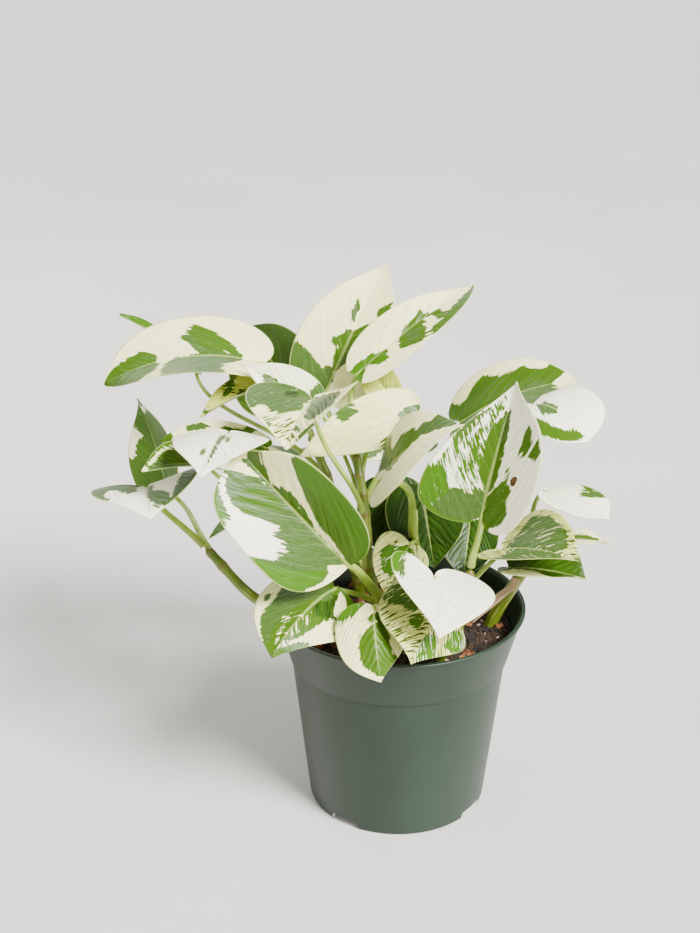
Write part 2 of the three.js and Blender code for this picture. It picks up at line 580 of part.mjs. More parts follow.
/** The blade of a leaf: two heart-shaped halves about its midrib. */
function bladeGeometry(leaf) {
  const surface = bladeSurface(leaf);
  const columns = leaf.width > BLADE.wideFrom ? BLADE.columnsWide : BLADE.columnsNarrow;
  const base = 0;
  const tip = 1;
  const uppers = [surface(1, 0, 0), surface(1, 0, 1)];
  const rowStart = {};
  for (const side of [0, 1, -1]) {
    rowStart[side] = uppers.length;
    for (let row = 1; row < BLADE.rows; row += 1) {
      for (let column = 1; column <= (side === 0 ? 1 : columns); column += 1) {
        uppers.push(surface(side || 1, side === 0 ? 0 : column / columns, row / BLADE.rows));
      }
    }
  }
  const at = (side, row, column) => {
    if (row === 0) {
      return base;
    }
    if (row === BLADE.rows) {
      return tip;
    }
    return column === 0 ? rowStart[0] + row - 1 : rowStart[side] + (row - 1) * columns + column - 1;
  };
  const triangles = [];
  for (const side of [1, -1]) {
    for (let row = 0; row < BLADE.rows; row += 1) {
      for (let column = 0; column < columns; column += 1) {
        const corners = [
          at(side, row, column),
          at(side, row, column + 1),
          at(side, row + 1, column + 1),
          at(side, row + 1, column),
        ];
        for (const [a, b, c] of [[0, 1, 2], [0, 2, 3]]) {
          const triangle = [corners[a], corners[b], corners[c]];
          if (new Set(triangle).size === 3) {
            triangles.push(side > 0 ? triangle : triangle.reverse());
          }
        }
      }
    }
  }
  return thickened(uppers, triangles, BLADE.thickness);
}

/** The petiole of a leaf, from its vine's axis to the blade, and on as the midrib's root. */
function petioleGeometry(leaf) {
  const stem = STEMS.find(({ name }) => name === leaf.stem);
  const curve = stemCurve(stem);
  const foot = curve.getPointAt(leaf.at);
  const { along, up } = bladeAxes(leaf);
  const surface = bladeSurface(leaf);
  const joint = vector(leaf.base).addScaledVector(up, -BLADE.thickness);
  const reach = foot.distanceTo(joint) * PETIOLE.bend;
  const leave = foot.clone().addScaledVector(curve.getTangentAt(leaf.at), reach);
  const arrive = joint.clone()
    .addScaledVector(along, -reach * PETIOLE.dip)
    .addScaledVector(up, -reach * PETIOLE.dip);
  const course = new THREE.CubicBezierCurve3(foot, leave, leaf.via ? vector(leaf.via) : arrive, joint);
  const points = course.getPoints(PETIOLE.steps);
  const radii = points.map((_, i) => {
    return leaf.radius * (PETIOLE.footWidth - (PETIOLE.narrowing * i) / PETIOLE.steps);
  });
  const { point, down } = surface(1, 0, PETIOLE.midribReach ** (1 / VEIN_SWEEP));
  points.push(point.clone().addScaledVector(down, BLADE.thickness));
  radii.push(PETIOLE.midribWidth * leaf.radius);
  return rod(points, radii, PETIOLE.sides);
}

/** A leaf: its blade joined to its petiole, which stops just short of its vine. */
function leafSolid(leaf, cutter) {
  const whole = solidFrom(bladeGeometry(leaf)).add(solidFrom(petioleGeometry(leaf)));
  return largestBody(whole.subtract(cutter));
}

/** A named mesh with a material of its own. */
function piece(name, solid, colour, roughness) {
  const material = new THREE.MeshStandardMaterial({ color: colour, roughness, metalness: 0 });
  const mesh = new THREE.Mesh(geometryFrom(solid), material);
  mesh.name = name;
  return mesh;
}

/** The whole plant in its pot. */
function pottedPothos() {
  const plant = new THREE.Group();
  plant.add(piece('pot', potSolid(), COLOURS.pot, 0.45));
  const holes = Object.fromEntries(STEMS.map((stem) => [stem.name, stemSolid(stem, CLEARANCE)]));
  const mix = barkChips().reduce((body, chip) => body.add(chip), soilBody());
  const drilled = Object.values(holes).reduce((body, hole) => body.subtract(hole), mix);
  plant.add(piece('soil', largestBody(drilled), COLOURS.soil, 0.95));
  for (const stem of STEMS) {
    const vine = stem.name === SHEATH.stem ? stemSolid(stem).add(sheathSolid()) : stemSolid(stem);
    plant.add(piece(stem.name, vine, COLOURS.stem, 0.5));
  }
  for (const leaf of LEAVES) {
    plant.add(piece(leaf.name, leafSolid(leaf, holes[leaf.stem]), COLOURS.leaf, 0.4));
  }
  return plant;
}

export default pottedPothos();
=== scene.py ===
"""The looks of a potted variegated pothos: pot, potting mix, vines and marked leaves."""

import logging
import math
from dataclasses import dataclass, field
from enum import Enum
from typing import Any

import bmesh
import bpy
import numpy as np
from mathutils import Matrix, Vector

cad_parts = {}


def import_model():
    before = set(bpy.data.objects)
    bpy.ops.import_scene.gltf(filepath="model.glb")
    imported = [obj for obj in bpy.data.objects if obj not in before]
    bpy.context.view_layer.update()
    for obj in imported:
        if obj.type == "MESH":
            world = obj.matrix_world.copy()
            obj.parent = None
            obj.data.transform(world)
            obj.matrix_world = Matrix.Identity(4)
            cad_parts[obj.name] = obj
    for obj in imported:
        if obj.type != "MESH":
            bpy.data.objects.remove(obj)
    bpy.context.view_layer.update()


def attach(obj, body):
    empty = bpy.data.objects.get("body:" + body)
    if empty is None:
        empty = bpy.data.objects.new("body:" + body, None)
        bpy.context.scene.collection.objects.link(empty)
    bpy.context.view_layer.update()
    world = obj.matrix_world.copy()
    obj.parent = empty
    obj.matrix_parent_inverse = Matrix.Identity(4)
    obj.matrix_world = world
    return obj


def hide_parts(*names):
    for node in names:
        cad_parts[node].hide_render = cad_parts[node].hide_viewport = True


log = logging.getLogger("potted_pothos")

MM = 0.001
# Clearance between pieces that touch on the real plant, in millimetres
CLEARANCE = 0.3
# How far a marking's signed distance is kept from its border, in millimetres
REACH = 6.0

Pair = tuple[float, float]
Point = tuple[float, float, float]
Socket = bpy.types.NodeSocket


class Tone(Enum):
    """What a marking on a blade is made of, from the palest tissue to dead tissue, with a darker green that
    paints shade.
    """

    WHITE = "white"
    CREAM = "cream"
    GREY = "grey"
    GREEN = "green"
    BRIGHT = "bright"
    # Painted shade: a darker green for leaves and patches that lie in shade among the others
    DARK = "dark"
    FLECKED = "flecked"
    DRY = "dry"


WHITE, CREAM, GREY, GREEN, BRIGHT, DARK, FLECKED, DRY = Tone


class Tissue(Enum):
    """Which of the two leaf blade materials a blade takes."""

    CREAM = "leaf_cream"
    GREEN = "leaf_green"


class Lamp(Enum):
    """A square softbox, or a sun so large and far that it lights the floor evenly."""

    SOFTBOX = "AREA"
    SUN = "SUN"


class Step(Enum):
    """A step of a material: a node's type, the inputs it is given in order and its output.

    Its settings, and the inputs that hold a constant, follow where it has them.
    """

    ADD = ("Math", (0, 1), 0, {"operation": "ADD"})
    SUBTRACT = ("Math", (0, 1), 0, {"operation": "SUBTRACT"})
    MULTIPLY = ("Math", (0, 1), 0, {"operation": "MULTIPLY"})
    MULTIPLY_ADD = ("Math", (0, 1, 2), 0, {"operation": "MULTIPLY_ADD"})
    MINIMUM = ("Math", (0, 1), 0, {"operation": "MINIMUM"})
    MAXIMUM = ("Math", (0, 1), 0, {"operation": "MAXIMUM"})
    PINGPONG = ("Math", (0, 1), 0, {"operation": "PINGPONG"})
    ABSOLUTE = ("Math", (0,), 0, {"operation": "ABSOLUTE"})
    FLOOR = ("Math", (0,), 0, {"operation": "FLOOR"})
    # One less the value, and how far the value is over a half
    REST = ("Math", (1,), 0, {"operation": "SUBTRACT"}, {0: 1.0})
    SWING = ("Math", (0,), 0, {"operation": "SUBTRACT"}, {1: 0.5})
    # A smooth step from 0 at one value to 1 at another
    RAMP = ("MapRange", ("Value", "From Min", "From Max"), "Result", {"interpolation_type": "SMOOTHSTEP"})
    # A colour between two, each a hex code or a socket
    MIX = ("Mix", (0, 6, 7), 2, {"data_type": "RGBA"})
    # Noise about a half, with one feature to a unit of its coordinate
    NOISE = ("TexNoise", ("Vector", "Detail", "Roughness"), "Fac", {}, {"Scale": 1.0, "Roughness": 0.55})
    CHANCE = ("TexWhiteNoise", ("W",), "Value", {"noise_dimensions": "1D"})
    READ = ("Attribute", (), "Fac")
    UV_MAP = ("UVMap", (), "UV")
    OBJECT = ("TexCoord", (), "Object")
    SCALED = ("Mapping", ("Vector", "Scale"), "Vector")
    SPLIT_X = ("SeparateXYZ", ("Vector",), "X")
    SPLIT_Y = ("SeparateXYZ", ("Vector",), "Y")
    BUMP = ("Bump", ("Height", "Distance"), "Normal", {}, {"Strength": 1.0})

    def __init__(
        self,
        kind: str,
        takes: tuple[Any, ...],
        gives: Any,
        settings: dict[str, Any] | None = None,
        holds: dict[Any, Any] | None = None,
    ) -> None:
        """Names the parts of a member.

        Args:
            kind: The node's type name, after "ShaderNode".
            takes: The inputs that a material gives it, in order.
            gives: Its output.
            settings: Attributes of the node itself.
            holds: Inputs that hold a constant unless a material gives them.
        """
        self.kind = "ShaderNode" + kind
        self.takes = takes
        self.gives = gives
        self.settings = settings or {}
        self.holds = holds or {}


@dataclass(frozen=True)
class Marking:
    """A patch on a blade, drawn in vein coordinates.

    Attributes:
        tone: What the patch is made of.
        outline: Its corners, as (side, share) pairs in percent. side runs from -100 at
            the left margin through 0 at the midrib to 100 at the right margin, and share
            from 0 at the base to 100 at the tip, along the veins' feet.
    """

    tone: Tone
    outline: tuple[Pair, ...]


def patch(tone: Tone, *outline: Pair) -> Marking:
    """A marking of one tone inside an outline."""
    return Marking(tone, outline)


def hex_to_linear(code: str) -> tuple[float, float, float, float]:
    """Turns an sRGB hex code into linear RGBA.

    Args:
        code: Six hex digits after a hash sign.

    Returns:
        The linear colour with full alpha.
    """
    channels = [int(code[i : i + 2], 16) / 255 for i in (1, 3, 5)]
    linear = [c / 12.92 if c <= 0.04045 else ((c + 0.055) / 1.055) ** 2.4 for c in channels]
    return (*linear, 1.0)


def add_node(
    tree: bpy.types.NodeTree, kind: str, links: dict[Any, Any] | None = None, **settings: Any
) -> bpy.types.Node:
    """Adds one node with its settings, and links or sets its inputs.

    Args:
        tree: The tree that gets the node.
        kind: The node's type name.
        links: Input name or number, to the socket that feeds it or the value it holds.
        **settings: Attributes of the node itself.

    Returns:
        The new node.
    """
    node = tree.nodes.new(kind)
    for name, value in settings.items():
        setattr(node, name, value)
    for name, value in (links or {}).items():
        if isinstance(value, Socket):
            tree.links.new(value, node.inputs[name])
        else:
            node.inputs[name].default_value = value
    return node


def unit(vector: np.ndarray) -> np.ndarray:
    """The vector at length one."""
    return vector / np.linalg.norm(vector)


def run_along(course: np.ndarray) -> np.ndarray:
    """How far along a course each of its points is."""
    return np.concatenate([[0], np.cumsum(np.linalg.norm(np.diff(course, axis=0), axis=1))])


def chain(count: int) -> list[tuple[int, int]]:
    """The edges that join so many points in a row."""
    return [(i, i + 1) for i in range(count - 1)]


def sided(value: float | Pair, side: np.ndarray) -> np.ndarray:
    """A value for both sides, or a pair's first on the left and its second on the right."""
    left, right = value if isinstance(value, tuple) else (value, value)
    return np.where(side > 0, right, left)


def bezier(ends: tuple[Any, Any, Any, Any], t: np.ndarray) -> np.ndarray:
    """Points of a cubic Bézier curve.

    Args:
        ends: Its four control values, numbers or points.
        t: Where along it, from 0 to 1.

    Returns:
        The values at t.
    """
    a, b, c, d = ends
    return (1 - t) ** 3 * a + 3 * (1 - t) ** 2 * t * b + 3 * (1 - t) * t**2 * c + t**3 * d


def smooth_path(points: tuple[Point, ...], count: int) -> np.ndarray:
    """An even, smooth course through points, as a centripetal Catmull-Rom spline.

    Args:
        points: The points that it passes through.
        count: How many points it returns.

    Returns:
        The course, evenly spaced along its length, one point a row.
    """
    through = np.array(points, float)
    padded = np.vstack([2 * through[0] - through[1], through, 2 * through[-1] - through[-2]])
    knots = np.concatenate([[0], np.cumsum(np.linalg.norm(np.diff(padded, axis=0), axis=1) ** 0.5)])
    course = []
    for i in range(1, len(padded) - 2):
        t = np.linspace(knots[i], knots[i + 1], 24, endpoint=i == len(padded) - 3)[:, None]
        p, k = padded[i - 1 : i + 3], knots[i - 1 : i + 3]
        a = [((k[j + 1] - t) * p[j] + (t - k[j]) * p[j + 1]) / (k[j + 1] - k[j]) for j in range(3)]
        b = [((k[j + 2] - t) * a[j] + (t - k[j]) * a[j + 1]) / (k[j + 2] - k[j]) for j in range(2)]
        course.append(((k[2] - t) * b[0] + (t - k[1]) * b[1]) / (k[2] - k[1]))
    fine = np.vstack(course)
    run = run_along(fine)
    at = np.linspace(0, run[-1], count)
    return np.stack([np.interp(at, run, fine[:, axis]) for axis in range(3)], axis=1)


def signed_distance(px: np.ndarray, py: np.ndarray, outline: np.ndarray) -> np.ndarray:
    """Signed distance from points to a closed outline, positive inside.

    Args:
        px: The points' first coordinates.
        py: The points' second coordinates.
        outline: The outline's corners, one a row.

    Returns:
        The distances, in the outline's unit.
    """
    inside = np.zeros(px.shape, bool)
    nearest = np.full(px.shape, np.inf)
    for (ax, ay), (bx, by) in zip(outline, np.roll(outline, -1, axis=0)):
        dx, dy = bx - ax, by - ay
        t = np.clip(((px - ax) * dx + (py - ay) * dy) / max(dx * dx + dy * dy, 1e-12), 0, 1)
        nearest = np.minimum(nearest, np.hypot(px - ax - t * dx, py - ay - t * dy))
        if dy:
            inside ^= ((ay > py) != (by > py)) & (px < dx * (py - ay) / dy + ax)
    return np.where(inside, nearest, -nearest)


def in_scene(name: str, data: Any) -> bpy.types.Object:
    """A new object in the scene that holds the data."""
    thing = bpy.data.objects.new(name, data)
    bpy.context.scene.collection.objects.link(thing)
    return thing


def mesh_object(
    name: str, vertices: np.ndarray, faces: list[Any], edges: list[tuple[int, int]] | None = None
) -> bpy.types.Object:
    """A smooth-shaded mesh object in the scene, from millimetres.

    Args:
        name: The object's name.
        vertices: Its corners in millimetres, one a row.
        faces: Its faces, as lists of corner numbers.
        edges: Edges of its own, where it has no faces.

    Returns:
        The object, with its corners in metres.
    """
    mesh = bpy.data.meshes.new(name)
    mesh.from_pydata((vertices * MM).tolist(), edges or [], [list(map(int, f)) for f in faces])
    mesh.update()
    shade_smooth(mesh)
    return in_scene(name, mesh)


def shade_smooth(mesh: bpy.types.Mesh) -> None:
    """Shades every face smooth."""
    mesh.polygons.foreach_set("use_smooth", [True] * len(mesh.polygons))


def outward(piece: bpy.types.Object) -> None:
    """Turns a closed mesh's faces so that they all look out.

    Args:
        piece: The mesh object.
    """
    shell = bmesh.new()
    shell.from_mesh(piece.data)
    bmesh.ops.recalc_face_normals(shell, faces=shell.faces)
    shell.to_mesh(piece.data)
    shell.free()


def keep_result(piece: bpy.types.Object, modifier: bpy.types.Modifier) -> None:
    """Makes a modifier's result the piece's own mesh, and removes the modifier.

    Args:
        piece: The mesh object.
        modifier: One of its modifiers.
    """
    bpy.context.view_layer.update()
    evaluated = piece.evaluated_get(bpy.context.evaluated_depsgraph_get())
    result = bpy.data.meshes.new_from_object(evaluated)
    piece.modifiers.remove(modifier)
    before = piece.data
    piece.data = result
    bpy.data.meshes.remove(before)
    shade_smooth(result)


def grow(piece: bpy.types.Object, tree: bpy.types.NodeTree, inputs: dict[str, Any]) -> None:
    """Runs a Geometry Nodes tree on a piece and keeps its result as a plain mesh.

    Args:
        piece: The object that the tree reads, which then holds the result.
        tree: The tree.
        inputs: The tree's input names and their values.
    """
    modifier = piece.modifiers.new("growth", "NODES")
    modifier.node_group = tree
    sockets = {item.name: item.identifier for item in tree.interface.items_tree if item.in_out == "INPUT"}
    for name, value in inputs.items():
        modifier[sockets[name]] = value
    keep_result(piece, modifier)


def store(piece: bpy.types.Object, name: str, values: np.ndarray) -> None:
    """Stores one number a vertex on a piece.

    Args:
        piece: The mesh object.
        name: The attribute's name.
        values: The numbers, in vertex order.
    """
    layer = piece.data.attributes.new(name, "FLOAT", "POINT")
    layer.data.foreach_set("value", values.astype(np.float32))


def stored(piece: bpy.types.Object, name: str) -> np.ndarray:
    """The numbers that an attribute holds, in vertex order."""
    values = np.empty(len(piece.data.vertices), np.float32)
    piece.data.attributes[name].data.foreach_get("value", values)
    return values


def store_uv(piece: bpy.types.Object, name: str, u: np.ndarray, v: np.ndarray) -> None:
    """Gives a piece a UV map.

    Args:
        piece: The mesh object.
        name: The UV map's name.
        u: Its first coordinate, in vertex order.
        v: Its second coordinate, in vertex order.
    """
    layer = piece.data.uv_layers.new(name=name)
    corners = np.empty(len(piece.data.loops), np.int32)
    piece.data.loops.foreach_get("vertex_index", corners)
    layer.data.foreach_set("uv", np.stack([u, v], axis=1)[corners].astype(np.float32).ravel())


def hand_over(piece: bpy.types.Object, node: str) -> None:
    """Lets a finished piece stand for its CAD node.

    Args:
        piece: The finished piece.
        node: The CAD node that it replaces.
    """
    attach(piece, "root")
    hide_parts(node)
    log.info("%s stands for %s, %d faces", piece.name, node, len(piece.data.polygons))


class Shader:
    """A material under construction."""

    def __init__(self, name: str) -> None:
        """Starts a material with a Principled shader.

        Args:
            name: The material's name.
        """
        self.material = bpy.data.materials.new(name)
        self.material.use_nodes = True
        self.tree = self.material.node_tree
        self.surface = self.tree.nodes["Principled BSDF"]

    def add(self, step: Step, *values: Any, **settings: Any) -> Socket:
        """Adds one step.

        Args:
            step: What it does.
            *values: What its inputs get, in order: sockets, numbers, vectors or hex codes.
            **settings: More attributes of its node.

        Returns:
            Its output.
        """
        given = {key: hex_to_linear(v) if isinstance(v, str) else v for key, v in zip(step.takes, values)}
        node = add_node(self.tree, step.kind, {**step.holds, **given}, **step.settings, **settings)
        return node.outputs[step.gives]

    def read(self, attribute: str) -> Socket:
        """The value of a vertex attribute."""
        return self.add(Step.READ, attribute_name=attribute)

    def grain(self, uv: str | None, size_mm: tuple[float, ...], detail: float, *roughness: float) -> Socket:
        """Noise with features of a real size.

        Args:
            uv: A UV map in millimetres, or None for Object coordinates.
            size_mm: The features' size along each axis, in millimetres.
            detail: How many finer layers it has.
            *roughness: How strong the finer layers are, where it isn't the usual strength.

        Returns:
            The noise.
        """
        source = self.add(Step.UV_MAP, uv_map=uv) if uv else self.add(Step.OBJECT)
        unit_mm = 1 if uv else 1 / MM
        scale = [unit_mm / size for size in size_mm] + [1] * (3 - len(size_mm))
        return self.add(Step.NOISE, self.add(Step.SCALED, source, scale), detail, *roughness)

    def surface_is(self, **values: Any) -> None:
        """Links or sets the shader's own inputs, with _ for a space in their names."""
        for name, value in values.items():
            entry = self.surface.inputs[name.replace("_", " ")]
            if isinstance(value, Socket):
                self.tree.links.new(value, entry)
            else:
                entry.default_value = value


@dataclass(frozen=True)
class BladeReading:
    """What a leaf material reads at a point of its blade.

    Attributes:
        s: The material under construction.
        across: From 0 at the midrib to 1 at the margin.
        along: Where the side vein leaves the midrib, from 0 at the base to 1 at the tip.
        streak: Noise drawn out along the veins.
        feather: The same, finer.
        cloud: Broad noise.
    """

    s: Shader
    across: Socket
    along: Socket
    streak: Socket
    feather: Socket
    cloud: Socket


@dataclass(frozen=True)
class LeafTissue:
    """Living leaf blade under a glossy cuticle, with pale tissue that lacks chlorophyll.

    The pale tissue is opaque and slightly warm, the green lies under a clear skin, and
    where green is thin over pale it reads as a dusty grey-green.
    """

    name: str
    white: str = "#f8f6da"
    cream: str = "#f1eeaa"
    lime: str = "#b9c04e"
    bright: str = "#3c6600"
    # The darker green that paints shade on inner leaves and shaded patches
    green: str = "#3b5a05"
    dark: str = "#1a3204"
    grey: str = "#3a561c"
    # Paler grey-green in feathers: partly real pale feathering, partly painted sheen on the glossy blade
    feathering_and_sheen: str = "#5c763e"
    rim: str = "#b9c878"
    vein: str = "#b4c46c"
    under: str = "#a6b46c"
    dry: str = "#44280f"
    dry_core: str = "#6f4828"
    # The upper face at its glossiest, how much duller it gets, and the under face over it
    gloss: Point = (0.28, 0.16, 0.2)
    # Noise drawn out along the veins: its length and width in millimetres
    streak: Pair = (10.0, 1.7)
    feather: Pair = (2.8, 0.5)
    speck: Pair = (2.4, 0.8)
    dash: Pair = (6.5, 1.5)
    cloud: Pair = (14.0, 14.0)
    cell: Pair = (0.6, 0.6)
    # How far streaks, feathers and the strips between side veins push a border, in mm
    pushes: Point = (2.2, 1.5, 1.2)
    strips: float = 26
    # How far the green spreads past a drawn border, in mm
    spread: float = 0.45
    # How many pairs of side veins show, and how strongly
    veins: float = 8
    vein_strength: float = 0.22
    # Specks show past these levels of their noise, sooner the more flecked and cloudy
    green_speck: Pair = (0.85, 0.87)
    pale_speck: Pair = (0.1, 0.08)
    crowding: Pair = (0.26, 0.2)
    # Dashes show past these levels, and only in tissue this flecked
    green_dash: Pair = (0.8, 0.82)
    pale_dash: Pair = (0.12, 0.1)
    dashed_from: Pair = (0.5, 0.6)
    dash_crowding: float = 0.3
    # How deep the relief is, and its share of the streaks, the veins and the cells
    relief_mm: float = 0.35
    relief: Point = (0.6, -0.3, 0.06)

    def build(self) -> bpy.types.Material:
        """Builds the material, which reads the blade's own markings."""
        s = Shader(self.name)
        b = self.reading(s)
        green_specks, pale_specks = self.specks(b)
        unspecked = s.add(Step.REST, green_specks)
        drawn = self.borders(b)
        inside = s.add(Step.MULTIPLY, drawn, s.add(Step.REST, pale_specks))
        outside = s.add(Step.MULTIPLY, s.add(Step.REST, drawn), green_specks)
        green = s.add(Step.ADD, inside, outside)
        thin = s.add(Step.MULTIPLY, self.thin_green(b), unspecked)
        tint = s.add(Step.MULTIPLY_ADD, s.add(Step.SWING, b.cloud), 0.4, s.read("tint"))
        coloured = s.add(Step.MIX, thin, self.green_tissue(b, tint), self.grey_tissue(b))
        colour = s.add(Step.MIX, green, self.pale_tissue(s, tint), coloured)
        edge = s.add(Step.MULTIPLY_ADD, b.feather, 0.02, b.across)
        rim = s.add(Step.MULTIPLY, s.add(Step.RAMP, edge, 0.985, 0.995), 0.6)
        colour = s.add(Step.MIX, rim, colour, self.rim)
        veins, hills = self.vein_lines(b)
        shown = s.add(Step.MULTIPLY, veins, s.add(Step.MULTIPLY_ADD, green, 0.4, 0.05))
        colour = self.dead_tissue(b, s.add(Step.MIX, shown, colour, self.vein))
        below = s.read("under")
        colour = s.add(Step.MIX, s.add(Step.MULTIPLY, below, 0.45), colour, self.under)
        glossiest, spread, under = self.gloss
        rough = s.add(Step.MULTIPLY_ADD, b.cloud, spread, glossiest)
        s.surface_is(
            Base_Color=colour,
            Roughness=s.add(Step.MULTIPLY_ADD, below, under, rough),
            Normal=s.add(Step.BUMP, self.height(b, veins, hills), self.relief_mm * MM),
            IOR=1.4,
            Specular_IOR_Level=0.3,
            Subsurface_Weight=0.12,
            Subsurface_Scale=0.0012,
            Subsurface_Radius=(1.0, 1.0, 0.35),
        )
        return s.material

    def reading(self, s: Shader) -> BladeReading:
        """What the material reads at a point of the blade.

        Args:
            s: The material under construction.

        Returns:
            The readings.
        """
        share = s.add(Step.UV_MAP, uv_map="share")
        across = s.add(Step.ABSOLUTE, s.add(Step.SPLIT_X, share))
        streak, feather = s.grain("veins", self.streak, 2.0), s.grain("veins", self.feather, 3.0)
        cloud = s.grain("veins", self.cloud, 2.0)
        return BladeReading(s, across, s.add(Step.SPLIT_Y, share), streak, feather, cloud)

    def specks(self, b: BladeReading) -> tuple[Socket, Socket]:
        """Small specks anywhere, and dashes along the veins in flecked tissue.

        Args:
            b: What the material reads.

        Returns:
            The green ones that show in pale tissue, and the pale ones that show in green.
        """
        s, fleck = b.s, b.s.read("fleck")
        speck, dash = s.grain("veins", self.speck, 2.0), s.grain("veins", self.dash, 2.0)
        clouds = s.add(Step.MULTIPLY, b.cloud, self.crowding[1])
        crowding = s.add(Step.MULTIPLY_ADD, s.add(Step.MINIMUM, fleck, 0.4), self.crowding[0], clouds)
        dashed = s.add(Step.RAMP, fleck, *self.dashed_from)
        kinds = []
        for side, crowd, speck_levels, dash_levels in (
            (1, Step.ADD, self.green_speck, self.green_dash),
            (-1, Step.SUBTRACT, self.pale_speck, self.pale_dash),
        ):
            dashes = s.add(Step.MULTIPLY_ADD, fleck, side * self.dash_crowding, dash)
            dashes = s.add(Step.MULTIPLY, dashed, s.add(Step.RAMP, dashes, *dash_levels))
            specks = s.add(Step.RAMP, s.add(crowd, speck, crowding), *speck_levels)
            kinds.append(s.add(Step.MAXIMUM, dashes, specks))
        return kinds[0], kinds[1]

    def borders(self, b: BladeReading) -> Socket:
        """Patches whose borders step and feather along the veins.

        Args:
            b: What the material reads.

        Returns:
            How green the tissue is.
        """
        s = b.s
        strip = s.add(Step.CHANCE, s.add(Step.FLOOR, s.add(Step.MULTIPLY, b.along, self.strips)))
        border = s.add(Step.ADD, s.read("pigment"), self.spread)
        for noise, push in zip((b.streak, b.feather, strip), self.pushes):
            border = s.add(Step.MULTIPLY_ADD, s.add(Step.SWING, noise), push, border)
        return s.add(Step.RAMP, border, -0.1, 0.1)

    def thin_green(self, b: BladeReading) -> Socket:
        """Where the green is a thin layer over pale tissue."""
        border = b.s.add(Step.MULTIPLY_ADD, b.s.add(Step.SWING, b.streak), 2.0, b.s.read("pale"))
        return b.s.add(Step.RAMP, border, -0.2, 0.2)

    def pale_tissue(self, s: Shader, tint: Socket) -> Socket:
        """Lime at no tint, through cream, to white at full tint."""
        cream = s.add(Step.MIX, s.add(Step.RAMP, tint, 0.0, 0.45), self.lime, self.cream)
        return s.add(Step.MIX, s.add(Step.RAMP, tint, 0.45, 1.0), cream, self.white)

    def green_tissue(self, b: BladeReading, tint: Socket) -> Socket:
        """The colour of green tissue, brighter along streaks.

        Args:
            b: What the material reads.
            tint: From dark at 0, through mid green, to bright at 1; the dark end paints shade.

        Returns:
            The colour.
        """
        s = b.s
        # Low tints darken the green towards the dark green, which paints shade on shaded leaves
        green = s.add(Step.MIX, s.add(Step.RAMP, tint, 0.0, 0.5), self.dark, self.green)
        green = s.add(Step.MIX, s.add(Step.RAMP, tint, 0.5, 1.0), green, self.bright)
        streaks = s.add(Step.MULTIPLY, s.add(Step.RAMP, b.streak, 0.4, 0.7), 0.4)
        return s.add(Step.MIX, streaks, green, self.bright)

    def grey_tissue(self, b: BladeReading) -> Socket:
        """The colour of thin green over pale, greener along streaks and paler in feathers, which are partly
        real pale feathering and partly painted sheen.

        Args:
            b: What the material reads.

        Returns:
            The colour.
        """
        s = b.s
        # Paler feathers in the grey-green: partly real feathering, partly painted sheen
        dusty = s.add(Step.MIX, s.add(Step.RAMP, b.feather, 0.45, 0.8), self.grey, self.feathering_and_sheen)
        streaks = s.add(Step.MULTIPLY, s.add(Step.RAMP, b.streak, 0.5, 0.75), 0.25)
        return s.add(Step.MIX, streaks, dusty, self.green)

    def dead_tissue(self, b: BladeReading, living: Socket) -> Socket:
        """Lays dry brown spots, paler in their core, over the living tissue.

        Args:
            b: What the material reads.
            living: The living tissue's colour.

        Returns:
            The colour.
        """
        s = b.s
        dry = s.add(Step.MULTIPLY_ADD, s.add(Step.SWING, b.feather), 0.6, s.read("dry"))
        spot = s.add(Step.MIX, s.add(Step.RAMP, dry, 0.3, 0.8), self.dry, self.dry_core)
        return s.add(Step.MIX, s.add(Step.RAMP, dry, -0.1, 0.1), living, spot)

    def vein_lines(self, b: BladeReading) -> tuple[Socket, Socket]:
        """The side veins and the midrib.

        Args:
            b: What the material reads.

        Returns:
            Lines that are faint on side veins and 1 on the midrib, and the swell of the
            blade between side veins, from 0 on a vein to 1 halfway to the next.
        """
        s = b.s
        wobble = s.grain("share", (1 / 2, 1 / 3), 0.0)
        count = s.add(Step.MULTIPLY_ADD, b.along, self.veins, wobble)
        off_vein = s.add(Step.PINGPONG, count, 0.5)
        fade = s.add(Step.MULTIPLY, s.add(Step.RAMP, b.across, 0.95, 0.1), self.vein_strength)
        side = s.add(Step.MULTIPLY, s.add(Step.RAMP, off_vein, 0.07, 0.0), fade)
        swell = s.add(Step.RAMP, off_vein, 0.0, 0.5)
        hills = s.add(Step.MULTIPLY, swell, s.add(Step.RAMP, b.across, 1.0, 0.7))
        return s.add(Step.MAXIMUM, side, s.add(Step.RAMP, b.across, 0.045, 0.01)), hills

    def height(self, b: BladeReading, veins: Socket, hills: Socket) -> Socket:
        """The blade's fine relief: sunk veins, swells between them, streaks and cells.

        Args:
            b: What the material reads.
            veins: The lines of the veins.
            hills: The swells between them.

        Returns:
            The height, as a share of the relief's depth.
        """
        s = b.s
        streak, vein, cell = self.relief
        cells = s.add(Step.MULTIPLY, s.grain("veins", self.cell, 1.0), cell)
        lines = s.add(Step.MULTIPLY_ADD, veins, vein, cells)
        streaks = s.add(Step.MULTIPLY_ADD, b.streak, streak, lines)
        return s.add(Step.ADD, s.add(Step.MULTIPLY, hills, b.cloud), streaks)


